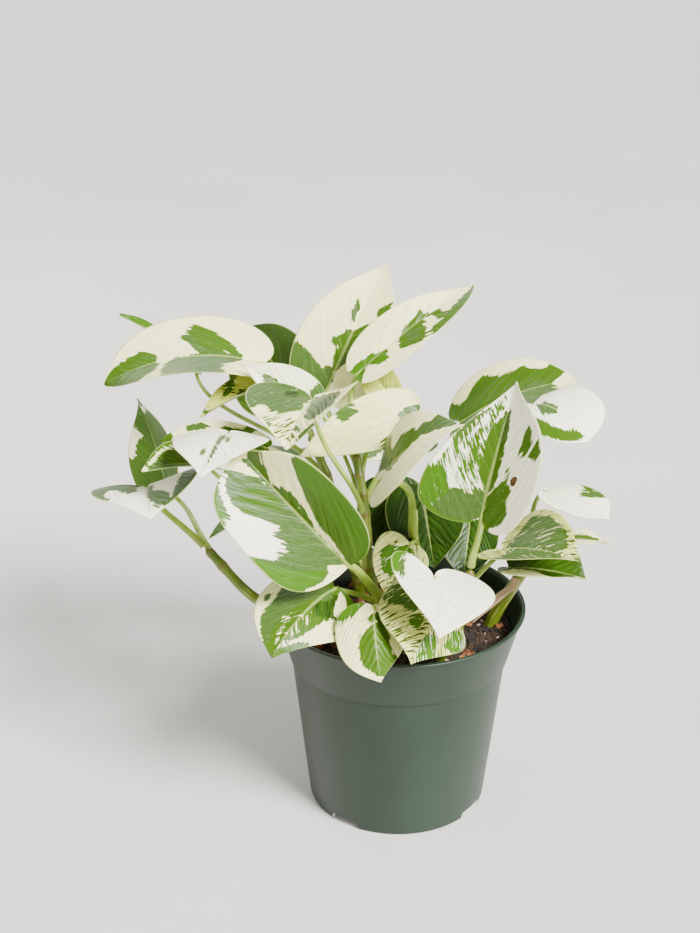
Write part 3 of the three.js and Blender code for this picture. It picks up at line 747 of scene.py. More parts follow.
@dataclass(frozen=True)
class StalkTissue:
    """Smooth green bark of a vine or petiole, streaked along its length and ringed at nodes."""

    name: str
    green: str = "#66781a"
    pale: str = "#98a44c"
    deep: str = "#496014"
    node: str = "#6b5228"
    # Noise across and along the stalk, in millimetres
    streak: Pair = (2.2, 26.0)
    cloud: Pair = (9.0, 12.0)

    def build(self) -> bpy.types.Material:
        """Builds the material, which reads the stalk's length and its node rings."""
        s = Shader(self.name)
        streak, cloud = s.grain("stalk", self.streak, 2.0), s.grain("stalk", self.cloud, 1.0)
        ring = s.read("ring")
        colour = s.add(Step.MIX, s.add(Step.RAMP, streak, 0.52, 0.66), self.green, self.pale)
        colour = s.add(Step.MIX, s.add(Step.RAMP, cloud, 0.45, 0.75), colour, self.deep)
        s.surface_is(
            Base_Color=s.add(Step.MIX, s.add(Step.MULTIPLY, ring, 0.7), colour, self.node),
            Normal=s.add(Step.BUMP, s.add(Step.MULTIPLY_ADD, streak, 0.6, ring), 0.25 * MM),
            Roughness=0.42,
            IOR=1.45,
            Subsurface_Weight=0.1,
            Subsurface_Scale=0.0012,
            Subsurface_Radius=(1.0, 1.0, 0.35),
        )
        return s.material


@dataclass(frozen=True)
class DrySheathTissue:
    """Thin dead leaf sheath, pinkish tan and fibrous along its length."""

    name: str = "dry_sheath_fibre"
    tan: str = "#cfae8c"
    shade: str = "#a57f5c"
    # A fibre's width and length, in millimetres
    fibre: Pair = (0.5, 12.0)

    def build(self) -> bpy.types.Material:
        """Builds the material."""
        s = Shader(self.name)
        fibre = s.grain("stalk", self.fibre, 3.0)
        s.surface_is(
            Base_Color=s.add(Step.MIX, s.add(Step.RAMP, fibre, 0.4, 0.65), self.tan, self.shade),
            Normal=s.add(Step.BUMP, fibre, 0.2 * MM),
            Roughness=0.7,
        )
        return s.material


@dataclass(frozen=True)
class MouldedPolypropylene:
    """Injection-moulded polypropylene, dark green, satin, with dust and handling scuffs."""

    name: str = "moulded_polypropylene"
    green: str = "#172819"
    pale: str = "#203125"
    dust: str = "#6b6f5c"
    # Sizes in millimetres of the flow marks, of the mould's grain, which is drawn coarser
    # than it is so that it shows, and of the level scuffs
    flow: Point = (500 / 9, 500 / 9, 250 / 3)
    grain: Point = (0.625, 0.625, 0.625)
    scuff: Point = (25 / 3, 25 / 3, 10 / 9)

    def build(self) -> bpy.types.Material:
        """Builds the material."""
        s = Shader(self.name)
        flow, grain = s.grain(None, self.flow, 3.0), s.grain(None, self.grain, 2.0)
        scuff = s.add(Step.RAMP, s.grain(None, self.scuff, 3.0, 0.7), 0.66, 0.78)
        scuff = s.add(Step.MULTIPLY, scuff, 0.15)
        colour = s.add(Step.MIX, s.add(Step.RAMP, flow, 0.35, 0.7), self.green, self.pale)
        dulled = s.add(Step.MULTIPLY_ADD, scuff, 0.5, 0.36)
        s.surface_is(
            Base_Color=s.add(Step.MIX, scuff, colour, self.dust),
            Roughness=s.add(Step.MULTIPLY_ADD, flow, 0.14, dulled),
            Normal=s.add(Step.BUMP, grain, 0.03 * MM),
            IOR=1.49,
            Specular_IOR_Level=0.4,
        )
        return s.material


@dataclass(frozen=True)
class Crumb:
    """Loose grains of one kind, dull and rough: peat, bark or grit."""

    name: str
    first: str
    second: str
    grain_mm: float
    roughness: float = 0.9

    def build(self) -> bpy.types.Material:
        """Builds the material."""
        s = Shader(self.name)
        broad = s.grain(None, (6 * self.grain_mm,) * 3, 2.0)
        fine = s.grain(None, (self.grain_mm,) * 3, 3.0, 0.65)
        s.surface_is(
            Base_Color=s.add(Step.MIX, s.add(Step.RAMP, broad, 0.4, 0.62), self.first, self.second),
            Normal=s.add(Step.BUMP, fine, 0.4 * MM),
            Roughness=self.roughness,
        )
        return s.material


@dataclass(frozen=True)
class StudioFloor:
    """Plain pale backdrop paper, matt and almost even."""

    name: str = "studio_floor"
    pale: str = "#c6c3be"
    paler: str = "#cdcac5"
    cloud_mm: float = 1000 / 3

    def build(self) -> bpy.types.Material:
        """Builds the material."""
        s = Shader(self.name)
        cloud = s.add(Step.RAMP, s.grain(None, (self.cloud_mm,) * 3, 2.0), 0.3, 0.7)
        s.surface_is(Base_Color=s.add(Step.MIX, cloud, self.pale, self.paler), Roughness=0.75)
        return s.material


def start_tree(name: str, **inputs: int | float) -> tuple[bpy.types.NodeTree, Any]:
    """Starts a Geometry Nodes tree.

    Args:
        name: The tree's name.
        **inputs: Its inputs beside Geometry and Material, with the values they start at.

    Returns:
        The tree, and what it is given, by input name.
    """
    tree = bpy.data.node_groups.new(name, "GeometryNodeTree")
    kinds = {label: "Int" if isinstance(value, int) else "Float" for label, value in inputs.items()}
    for label, kind in {"Geometry": "Geometry", **kinds, "Material": "Material"}.items():
        socket = tree.interface.new_socket(label, in_out="INPUT", socket_type="NodeSocket" + kind)
        if label in inputs:
            socket.default_value = inputs[label]
    tree.interface.new_socket("Geometry", in_out="OUTPUT", socket_type="NodeSocketGeometry")
    return tree, add_node(tree, "NodeGroupInput").outputs


def end_tree(tree: bpy.types.NodeTree, given: Any, geometry: Socket) -> bpy.types.NodeTree:
    """Ends a Geometry Nodes tree with real, dressed geometry.

    Args:
        tree: The tree.
        given: What it is given, by input name.
        geometry: What it has made.

    Returns:
        The finished tree.
    """
    whole = add_node(tree, "GeometryNodeRealizeInstances", {"Geometry": geometry})
    dressed = add_node(tree, "GeometryNodeSetMaterial",
                       {"Geometry": whole.outputs["Geometry"], "Material": given["Material"]})
    add_node(tree, "NodeGroupOutput", {"Geometry": dressed.outputs["Geometry"]})
    return tree


def sweep_tree() -> bpy.types.NodeTree:
    """A Geometry Nodes tree that sweeps a round skin along a course.

    The course is a mesh of edges with a radius at each vertex. The skin keeps the
    course's own attributes, and gets the share of the way round it as "around".

    Returns:
        The tree, with the inputs Sides and Material.
    """
    tree, given = start_tree("sweep_a_skin_along_a_course", Sides=16)
    radius = add_node(tree, "GeometryNodeInputNamedAttribute", {"Name": "radius"}, data_type="FLOAT")
    course = add_node(tree, "GeometryNodeMeshToCurve", {"Mesh": given["Geometry"]})
    circle = add_node(tree, "GeometryNodeCurvePrimitiveCircle", {"Resolution": given["Sides"], "Radius": 1.0})
    around = add_node(tree, "GeometryNodeSplineParameter").outputs["Factor"]
    marked = add_node(tree, "GeometryNodeStoreNamedAttribute",
                      {"Geometry": circle.outputs["Curve"], "Name": "around", "Value": around},
                      data_type="FLOAT", domain="POINT")
    skin = add_node(tree, "GeometryNodeCurveToMesh",
                    {"Curve": course.outputs["Curve"], "Profile Curve": marked.outputs["Geometry"],
                     "Scale": radius.outputs["Attribute"], "Fill Caps": True})
    return end_tree(tree, given, skin.outputs["Mesh"])


def scatter_tree() -> bpy.types.NodeTree:
    """A Geometry Nodes tree that scatters rough grains over the ground it is given.

    Each grain is a small sphere, stretched, turned at random and pushed out of round.

    Returns:
        The tree, with the inputs Spacing, Density, Smallest, Largest, Flatness, Faces,
        Seed and Material.
    """
    tree, given = start_tree("scatter_grains", Spacing=0.001, Density=1e5, Smallest=0.0005,
                             Largest=0.001, Flatness=0.6, Faces=1, Seed=1)
    spots = add_node(tree, "GeometryNodeDistributePointsOnFaces",
                     {"Mesh": given["Geometry"], "Distance Min": given["Spacing"],
                      "Density Max": given["Density"], "Seed": given["Seed"]},
                     distribute_method="POISSON")
    grain = add_node(tree, "GeometryNodeMeshIcoSphere", {"Radius": 0.5, "Subdivisions": given["Faces"]})
    # Grains tip by up to 0.9 radians about each level axis, and face any way
    turn = add_node(tree, "FunctionNodeRandomValue",
                    {0: (0.0, 0.0, 0.0), 1: (0.9, 0.9, 6.283), "Seed": given["Seed"]},
                    data_type="FLOAT_VECTOR")
    size = add_node(tree, "FunctionNodeRandomValue",
                    {2: given["Smallest"], 3: given["Largest"], "Seed": given["Seed"]}, data_type="FLOAT")
    # One way across is 0.55 to 0.9 of the other
    length = add_node(tree, "FunctionNodeRandomValue", {2: 0.55, 3: 0.9, "Seed": 5}, data_type="FLOAT")
    form = add_node(tree, "ShaderNodeCombineXYZ", {"X": 1.0, "Y": length.outputs[1], "Z": given["Flatness"]})
    scale = add_node(tree, "ShaderNodeVectorMath",
                     {0: form.outputs["Vector"], "Scale": size.outputs[1]}, operation="SCALE")
    placed = add_node(tree, "GeometryNodeInstanceOnPoints",
                      {"Points": spots.outputs["Points"], "Instance": grain.outputs["Mesh"],
                       "Rotation": turn.outputs[0], "Scale": scale.outputs["Vector"]})
    real = add_node(tree, "GeometryNodeRealizeInstances", {"Geometry": placed.outputs["Instances"]})
    # Lumps about 2 mm wide push the skin by up to 0.3 of the largest grain
    lumps = add_node(tree, "ShaderNodeTexNoise", {"Scale": 520.0, "Detail": 1.0}, normalize=False)
    amount = add_node(tree, "ShaderNodeMath", {0: given["Largest"], 1: 0.3}, operation="MULTIPLY")
    push = add_node(tree, "ShaderNodeVectorMath",
                    {0: lumps.outputs["Color"], "Scale": amount.outputs[0]}, operation="SCALE")
    rough = add_node(tree, "GeometryNodeSetPosition",
                     {"Geometry": real.outputs["Geometry"], "Offset": push.outputs["Vector"]})
    return end_tree(tree, given, rough.outputs["Geometry"])


def lathe_tree() -> bpy.types.NodeTree:
    """A Geometry Nodes tree that turns a section about the upright axis.

    The section is a row of vertices, from the axis round to the axis again.

    Returns:
        The tree, with the inputs Rows, Segments and Material.
    """
    tree, given = start_tree("turn_a_section", Rows=8, Segments=32)
    index = add_node(tree, "GeometryNodeInputIndex").outputs["Index"]
    place = add_node(tree, "GeometryNodeInputPosition").outputs["Position"]
    columns = add_node(tree, "ShaderNodeMath", {0: given["Segments"], 1: 1.0}, operation="ADD").outputs[0]
    grid = add_node(tree, "GeometryNodeMeshGrid", {"Vertices X": given["Rows"], "Vertices Y": columns})
    quotient = add_node(tree, "ShaderNodeMath", {0: index, 1: columns}, operation="DIVIDE")
    row = add_node(tree, "ShaderNodeMath", {0: quotient.outputs[0]}, operation="FLOOR")
    column = add_node(tree, "ShaderNodeMath", {0: index, 1: columns}, operation="MODULO")
    turn = add_node(tree, "ShaderNodeMath", {0: column.outputs[0], 1: given["Segments"]}, operation="DIVIDE")
    angle = add_node(tree, "ShaderNodeMath", {0: turn.outputs[0], 1: math.tau}, operation="MULTIPLY")
    section = add_node(tree, "GeometryNodeSampleIndex",
                       {"Geometry": given["Geometry"], "Index": row.outputs[0]},
                       data_type="FLOAT_VECTOR", domain="POINT")
    tree.links.new(place, section.inputs["Value"])
    turned = add_node(tree, "ShaderNodeVectorRotate",
                      {"Vector": section.outputs["Value"], "Angle": angle.outputs[0]},
                      rotation_type="Z_AXIS")
    moved = add_node(tree, "GeometryNodeSetPosition",
                     {"Geometry": grid.outputs["Mesh"], "Position": turned.outputs["Vector"]})
    sealed = add_node(tree, "GeometryNodeMergeByDistance",
                      {"Geometry": moved.outputs["Geometry"], "Distance": 1e-5})
    return end_tree(tree, given, sealed.outputs["Geometry"])


@dataclass
class Course:
    """A round stalk along a course, in millimetres.

    Attributes:
        name: The finished object's name.
        points: The points along its middle.
        radii: Its radius at each point.
        rings: How much of a node ring is at each point, from 0 to 1.
        sides: The corners round it.
    """

    name: str
    points: np.ndarray
    radii: np.ndarray
    rings: np.ndarray
    sides: int

    def build(self, node: str, tree: bpy.types.NodeTree, material: bpy.types.Material) -> None:
        """Builds the stalk and hands it over.

        Args:
            node: The CAD node that it stands for.
            tree: The sweeping tree.
            material: What it is made of.
        """
        piece = mesh_object(self.name, self.points, [], chain(len(self.points)))
        store(piece, "radius", self.radii * MM)
        store(piece, "ring", self.rings)
        store(piece, "run", run_along(self.points))
        grow(piece, tree, {"Sides": self.sides, "Material": material})
        half_girth = math.pi * float(self.radii.mean())
        round_it = np.abs(stored(piece, "around") * 2 - 1) * half_girth
        store_uv(piece, "stalk", round_it, stored(piece, "run"))
        hand_over(piece, node)


@dataclass
class Vine:
    """A rooted vine: the points that it grows through, and how it swells at its nodes.

    Attributes:
        name: Its name, without the "stem_" of its CAD node.
        radius: Its radius at its foot, in millimetres.
        points: The points, in millimetres.
        tip_taper: How much thinner it is at its tip.
        swelling: How much thicker it is where a leaf grows.
        swelling_length: How far a swelling reaches, in millimetres.
        ring_length: How far a node ring reaches, in millimetres.
        leaves_at: The shares of its length where leaves grow.
    """

    name: str
    radius: float
    points: tuple[Point, ...]
    tip_taper: float = 0.35
    swelling: float = 0.22
    swelling_length: float = 3.0
    ring_length: float = 0.9
    leaves_at: list[float] = field(default_factory=list)

    ROWS = 120
    SIDES = 20
    # How many steps its length is divided into to find a leaf's place
    STEPS = 400

    def at(self, share: float) -> tuple[np.ndarray, np.ndarray]:
        """The place and direction at a share of the vine's length."""
        path = smooth_path(self.points, self.STEPS + 1)
        i = min(max(round(share * self.STEPS), 1), self.STEPS - 1)
        return path[i], unit(path[i + 1] - path[i - 1])

    def about_leaves(self, share: np.ndarray, length: float, reach: float) -> np.ndarray:
        """One at each leaf, and falling to zero away from it.

        Args:
            share: Shares of the vine's length.
            length: The vine's length, in millimetres.
            reach: How far it reaches, in millimetres.

        Returns:
            The values at those shares.
        """
        return np.minimum(sum(np.exp(-((share - at) * length / reach) ** 2) for at in self.leaves_at), 1)

    def build(self, tree: bpy.types.NodeTree, material: bpy.types.Material) -> None:
        """Builds the vine as one swept skin with a rounded tip.

        Args:
            tree: The sweeping tree.
            material: What it is made of.
        """
        path = smooth_path(self.points, self.ROWS)
        share = np.linspace(0, 1, self.ROWS)
        length = float(run_along(path)[-1])
        taper = 1 - self.tip_taper * share**4
        swell = 1 + self.swelling * self.about_leaves(share, length, self.swelling_length)
        rounded = np.sqrt(np.clip((1 - share) * length / (0.8 * self.radius), 0.02, 1))
        rings = self.about_leaves(share, length, self.ring_length)
        radii = self.radius * taper * swell * rounded
        course = Course("vine_" + self.name, path, radii, rings, self.SIDES)
        course.build("stem_" + self.name, tree, material)


@dataclass
class Leaf:
    """One leaf: where its blade lies, how it folds and arches, and its markings.

    The blade's outline, fold, arch, curl and waves follow the same rule as the solid
    that it replaces, on a finer grid. Lengths are in millimetres and angles in degrees.
    A pair holds a value for the left side and one for the right side.

    Attributes:
        name: Its name, without the "leaf_" of its CAD node.
        vine: The name of the vine that it grows on.
        at: Where on the vine, as a share of the vine's length.
        base: Where the petiole meets the blade.
        tip: Where the blade ends.
        face: Which way its upper face looks.
        width: The blade's width.
        fold: How far each side is folded up about the midrib.
        arch: How far the midrib bends over its length.
        curl: How much further each side turns towards its margin.
        wave: How high the waves of the margin are.
        lobe: How far each side reaches behind the base, as a share of the length.
        radius: The petiole's radius.
        via: A point that steers the petiole, where it has one.
        full: How full each side is near the tip, from 0.
        widest: Where each side is widest, as a share of the length.
        ground: What the blade is made of outside its markings.
        fleck: How speckled it is.
        tint: How pale the ground is, from 0 to 1. A green ground near 0 takes the dark green that paints
            shade.
        markings: Its patches, each laid over those before it.
    """

    name: str
    vine: str
    at: float
    base: Point
    tip: Point
    face: Point
    width: float
    fold: float | Pair
    arch: float
    curl: float = 4
    wave: float = 1
    lobe: float | Pair = 0.14
    radius: float = 1.1
    via: Point | None = None
    full: float | Pair = 0
    widest: float | Pair = 0.27
    ground: Tone = CREAM
    fleck: float = 0.12
    tint: float = 0.5
    markings: tuple[Marking, ...] = ()

    # The solid's thickness
    THICKNESS = 0.8
    COLUMNS = 22
    ROWS = 58
    # The power that sweeps the side veins forward as they leave the midrib
    VEIN_SWEEP = 1.9
    SIDE_VEINS = 8
    # Rows along the petiole, and corners round it
    STALK_ROWS = 40
    STALK_SIDES = 12

    def axes(self) -> tuple[np.ndarray, np.ndarray, np.ndarray, np.ndarray, float]:
        """The blade's own frame.

        Returns:
            Its base, its directions to the tip, out of its face and right, and its chord.
        """
        base = np.array(self.base, float)
        along = np.array(self.tip, float) - base
        chord = float(np.linalg.norm(along))
        along /= chord
        up = np.array(self.face, float)
        up = unit(up - up @ along * along)
        return base, along, up, np.cross(along, up), chord

    def length(self) -> float:
        """The blade's length along its arch."""
        half_arch = math.radians(self.arch) / 2
        return self.axes()[4] * half_arch / math.sin(half_arch)

    def margin(self, side: np.ndarray, s: np.ndarray) -> tuple[np.ndarray, np.ndarray]:
        """The half width and the place along the midrib of a side's margin.

        Args:
            side: -1 for the left margin and 1 for the right one.
            s: The share of the way to the tip.

        Returns:
            The distances from the midrib, and from the base along it.
        """
        length, half = self.length(), self.width / 2
        full = sided(self.full, side)
        lobe, widest = sided(self.lobe, side) * length, sided(self.widest, side) * length
        # Two Bézier curves meet at the widest place, one from the base and one to the tip
        low, high = np.clip(2 * s, 0, 1), np.clip(2 * s - 1, 0, 1)
        out = np.where(s < 0.5, bezier((0, 0.2 * half, half, half), low),
                       bezier((half, half, (0.2 + 0.3 * full) * half, 0), high))
        shoulder, blunt = widest + (0.34 + 0.12 * full) * length, (0.8 + 0.05 * full) * length
        along = np.where(s < 0.5, bezier((0, -lobe, -0.75 * lobe, widest), low),
                         bezier((widest, shoulder, blunt, length), high))
        return out, along

    def spot(self, u: np.ndarray, s: np.ndarray) -> tuple[np.ndarray, np.ndarray]:
        """The distance of (u, s) from the midrib and from the base along it."""
        across = np.abs(u)
        out, along = self.margin(np.where(u >= 0, 1.0, -1.0), s)
        return out * across, self.length() * s**self.VEIN_SWEEP * (1 - across) + along * across

    def foot(self, x: np.ndarray, y: np.ndarray) -> np.ndarray:
        """Where the side vein through (x, y) leaves the midrib, as a share of its length."""
        return (y - x * (1 + 0.8 * x / (self.width / 2))) / self.length()

    def surface(self, u: np.ndarray, s: np.ndarray) -> tuple[np.ndarray, np.ndarray]:
        """The upper face and the way down through it.

        Args:
            u: From -1 at the left margin to 1 at the right one.
            s: From 0 at the base to 1 at the tip.

        Returns:
            The points, and the unit vectors down through the blade.
        """
        base, along, up, right, _ = self.axes()
        length, arch = self.length(), math.radians(self.arch)
        bend = length / arch
        side, across = np.where(u >= 0, 1.0, -1.0), np.abs(u)
        x, y = self.spot(u, s)
        share = x / (self.width / 2)
        fold, curl = np.radians(sided(self.fold, side)), math.radians(self.curl)
        angle = fold + curl * share
        wave = self.wave * np.sin(2 * np.pi * (1.5 * s + np.where(side > 0, 0, 0.3))) * across**2
        lift = x * np.sin(angle) + wave - self.quilting(across, x, y)
        slope = arch * (0.5 - np.maximum(y, 0) / length)
        behind = np.minimum(y, 0)
        forward = bend * (math.sin(arch / 2) - np.sin(slope)) + behind * np.cos(slope)
        rise = bend * (np.cos(slope) - math.cos(arch / 2)) + behind * np.sin(slope)
        points = (base + (forward - lift * np.sin(slope))[..., None] * along
                  + (rise + lift * np.cos(slope))[..., None] * up
                  + (side * x * np.cos(angle))[..., None] * right)
        tilt = (fold + 2 * curl * share) * np.clip(across * 6, 0, 1)
        down = ((np.sin(slope) * np.cos(tilt))[..., None] * along
                - (np.cos(slope) * np.cos(tilt))[..., None] * up
                + (side * np.sin(tilt))[..., None] * right)
        return points, down

    def quilting(self, across: np.ndarray, x: np.ndarray, y: np.ndarray) -> np.ndarray:
        """How far the upper face sinks along the midrib and the side veins."""
        groove = 0.35 * np.exp(-((x / 0.9) ** 2)) * np.clip(1.1 - y / self.length(), 0, 1)
        sink = 0.5 + 0.5 * np.cos(2 * np.pi * self.SIDE_VEINS * self.foot(x, y))
        return groove + 0.35 * sink * np.sin(np.pi * across) * (self.width / 40)

    def thickness(self, u: np.ndarray, s: np.ndarray) -> np.ndarray:
        """How thick the blade is: thin at its margin, and thickest at the base of its midrib.

        Args:
            u: From -1 at the left margin to 1 at the right one.
            s: From 0 at the base to 1 at the tip.

        Returns:
            The thicknesses.
        """
        x = self.margin(np.sign(u), s)[0] * np.abs(u)
        sheet = 0.25 + 0.4 * (1 - np.abs(u) ** 4)
        midrib = 0.5 * np.exp(-((x / 1.3) ** 2)) * (1 - s)
        return np.minimum(sheet + midrib, 1.1)

    def faces(self, count: int) -> list[list[int]]:
        """The faces of the closed sheet: its upper side, its under side and its rim.

        Args:
            count: How many corners the upper side has. The last two are the base and tip.

        Returns:
            The faces, as lists of corner numbers.
        """
        stride = 2 * self.COLUMNS + 1
        last = (self.ROWS - 2) * stride
        base, tip = count - 2, count - 1
        upper = [[a, a + 1, a + 1 + stride, a + stride]
                 for row in range(self.ROWS - 2) for a in range(row * stride, row * stride + stride - 1)]
        for column in range(stride - 1):
            upper.append([base, column + 1, column])
            upper.append([last + column, last + column + 1, tip])
        under = [[i + count for i in reversed(face)] for face in upper]
        left = [base, *range(0, last + 1, stride), tip]
        right = [base, *range(stride - 1, last + stride, stride), tip]
        rim = [[a, b, b + count, a + count] for a, b in zip(left, left[1:])]
        rim += [[b, a, a + count, b + count] for a, b in zip(right, right[1:])]
        return upper + under + rim

    def marks(self, u: np.ndarray, s: np.ndarray) -> dict[str, np.ndarray]:
        """The blade's markings as signed distances in millimetres and shares.

        Args:
            u: From -1 at the left margin to 1 at the right one, for each corner.
            s: From 0 at the base to 1 at the tip, for each corner.

        Returns:
            pigment is positive in green tissue and pale positive where it is grey-green,
            dry is positive in dead tissue, tint lightens and fleck speckles.
        """
        half, length = self.width / 2, self.length()
        # The shaded tone takes the darkest green, as painted shade
        tinted = {WHITE: 1.0, BRIGHT: 1.0, DARK: 0.0}
        pigmented = {GREY, GREEN, BRIGHT, DARK}
        pigment = np.full(u.shape, REACH if self.ground in pigmented else -REACH)
        pale = np.full(u.shape, REACH if self.ground is GREY else -REACH)
        tint = np.full(u.shape, tinted.get(self.ground, self.tint))
        fleck = np.full(u.shape, self.fleck)
        dry = np.full(u.shape, -REACH)
        for mark in self.markings:
            outline = self.past_margins(mark.outline) * (half, length)
            distance = np.clip(signed_distance(u * half, s * length, outline), -REACH, REACH)
            near = np.clip(distance / 1.5 + 0.5, 0, 1)
            if mark.tone is FLECKED:
                fleck = np.maximum(fleck, near)
            elif mark.tone is DRY:
                dry = np.maximum(dry, distance)
            elif mark.tone in pigmented:
                pigment = np.maximum(pigment, distance)
                pale = np.maximum(pale, distance) if mark.tone is GREY else np.minimum(pale, -distance)
                tint = tint + (tinted.get(mark.tone, 0.5) - tint) * near
            else:
                pigment = np.minimum(pigment, -distance)
                tint = tint + (tinted.get(mark.tone, max(self.tint, 0.5)) - tint) * near
        return {"pigment": pigment, "pale": pale, "tint": tint, "fleck": fleck, "dry": dry}

    def past_margins(self, outline: tuple[Pair, ...]) -> np.ndarray:
        """The outline in shares, with its corners on the margin, base or tip moved out past it."""
        side, share = np.array(outline, float).T / 100
        side = np.where(np.abs(side) >= 1, 1.5 * side, side)
        return np.stack([side, np.where(share >= 1, 1.4, np.where(share <= 0, -0.4, share))], axis=1)

    def stalk(self, vine: Vine) -> Course:
        """The petiole, from just outside its vine to the blade, and on under the midrib.

        Args:
            vine: The vine that it grows on.

        Returns:
            Its course.
        """
        foot, leaving = vine.at(self.at)
        _, along, up, _, _ = self.axes()
        joint = np.array(self.base, float) - up * self.THICKNESS
        reach = float(np.linalg.norm(joint - foot)) * 0.38
        arrive = np.array(self.via, float) if self.via else joint - (along + up) * 0.6 * reach
        t = np.linspace(0, 1, self.STALK_ROWS)
        course = bezier((foot, foot + leaving * reach, arrive, joint), t[:, None])
        # It runs out under the first 0.14 of the midrib
        midrib, down = self.surface(np.zeros(1), np.array([0.14 ** (1 / self.VEIN_SWEEP)]))
        end = midrib[0] + down[0] * self.THICKNESS
        course = np.vstack([course, [joint * 0.55 + end * 0.45, end]])
        radii = self.radius * np.concatenate([1.15 - 0.35 * t, [0.6, 0.3]])
        clear = np.linalg.norm(course - foot, axis=1) > vine.radius * 1.15 + CLEARANCE
        start = int(np.argmax(clear))
        # It is thicker and browner over its first rows, where it clasps the vine
        sheath = np.exp(-np.arange(len(course) - start) / 4.0)
        widths = radii[start:] * (1 + 0.18 * sheath)
        return Course("petiole_" + self.name, course[start:], widths, 0.5 * sheath, self.STALK_SIDES)

    def build(
        self,
        vine: Vine,
        tree: bpy.types.NodeTree,
        blades: dict[Tissue, bpy.types.Material],
        stalk: bpy.types.Material,
    ) -> None:
        """Builds the leaf: its blade as a closed sheet, and its petiole.

        Args:
            vine: The vine that it grows on.
            tree: The sweeping tree.
            blades: The blade's material for each leaf slot.
            stalk: The petiole's material.
        """
        node = "leaf_" + self.name
        tissue = Tissue.CREAM if self.ground in (WHITE, CREAM) else Tissue.GREEN
        rows = np.linspace(0, 1, self.ROWS + 1)[1:-1]
        u, s = (a.ravel() for a in np.meshgrid(np.linspace(-1, 1, 2 * self.COLUMNS + 1), rows))
        u, s = np.append(u, [0.0, 0.0]), np.append(s, [0.0, 1.0])
        upper, down = self.surface(u, s)
        lower = upper + down * self.thickness(u, s)[:, None]
        blade = mesh_object("blade_" + self.name, np.vstack([upper, lower]), self.faces(len(u)))
        under = np.repeat([0.0, 1.0], len(u))
        u, s = np.tile(u, 2), np.tile(s, 2)
        x, y = self.spot(u, s)
        foot = self.foot(x, y)
        # Leaves whose names differ in length read their noise at different places
        store_uv(blade, "veins", 1.5 * np.sign(u) * x + 40, foot * self.length() + 7 * len(self.name))
        store_uv(blade, "share", u, foot)
        for name, values in self.marks(u, s).items():
            store(blade, name, values)
        store(blade, "under", under)
        blade.data.materials.append(blades[tissue])
        hand_over(blade, node)
        self.stalk(vine).build(node, tree, stalk)


@dataclass(frozen=True)
class PotShape:
    """The pot's sizes, in millimetres, and the angles of its drain slots, in degrees."""

    height: float = 92
    rim_radius: float = 54
    band_bottom: float = 69
    band_bottom_radius: float = 47.2
    band_top_radius: float = 53.4
    body_top_radius: float = 46.3
    base_radius: float = 38.7
    # The base stands on a ring this wide, and is hollow this high inside it
    foot_ring: float = 3.4
    hollow: float = 0.6
    wall: float = 1.5
    lip: float = 1.6
    slot_angles: tuple[float, ...] = (-35, 57, 145, 235)
    slot_width: float = 13
    slot_height: float = 3.2
    slot_inset: float = 7
    slot_rounding: float = 1.2

    def outer(self, z: float) -> float:
        """The outside radius at a height."""
        if z < self.band_bottom:
            return float(np.interp(z, [0, self.band_bottom], [self.base_radius, self.body_top_radius]))
        band = [self.band_bottom_radius, self.band_top_radius]
        return float(np.interp(z, [self.band_bottom, self.height], band))

    def inner(self, z: float) -> float:
        """The inside radius at a height."""
        return self.outer(z) - self.wall


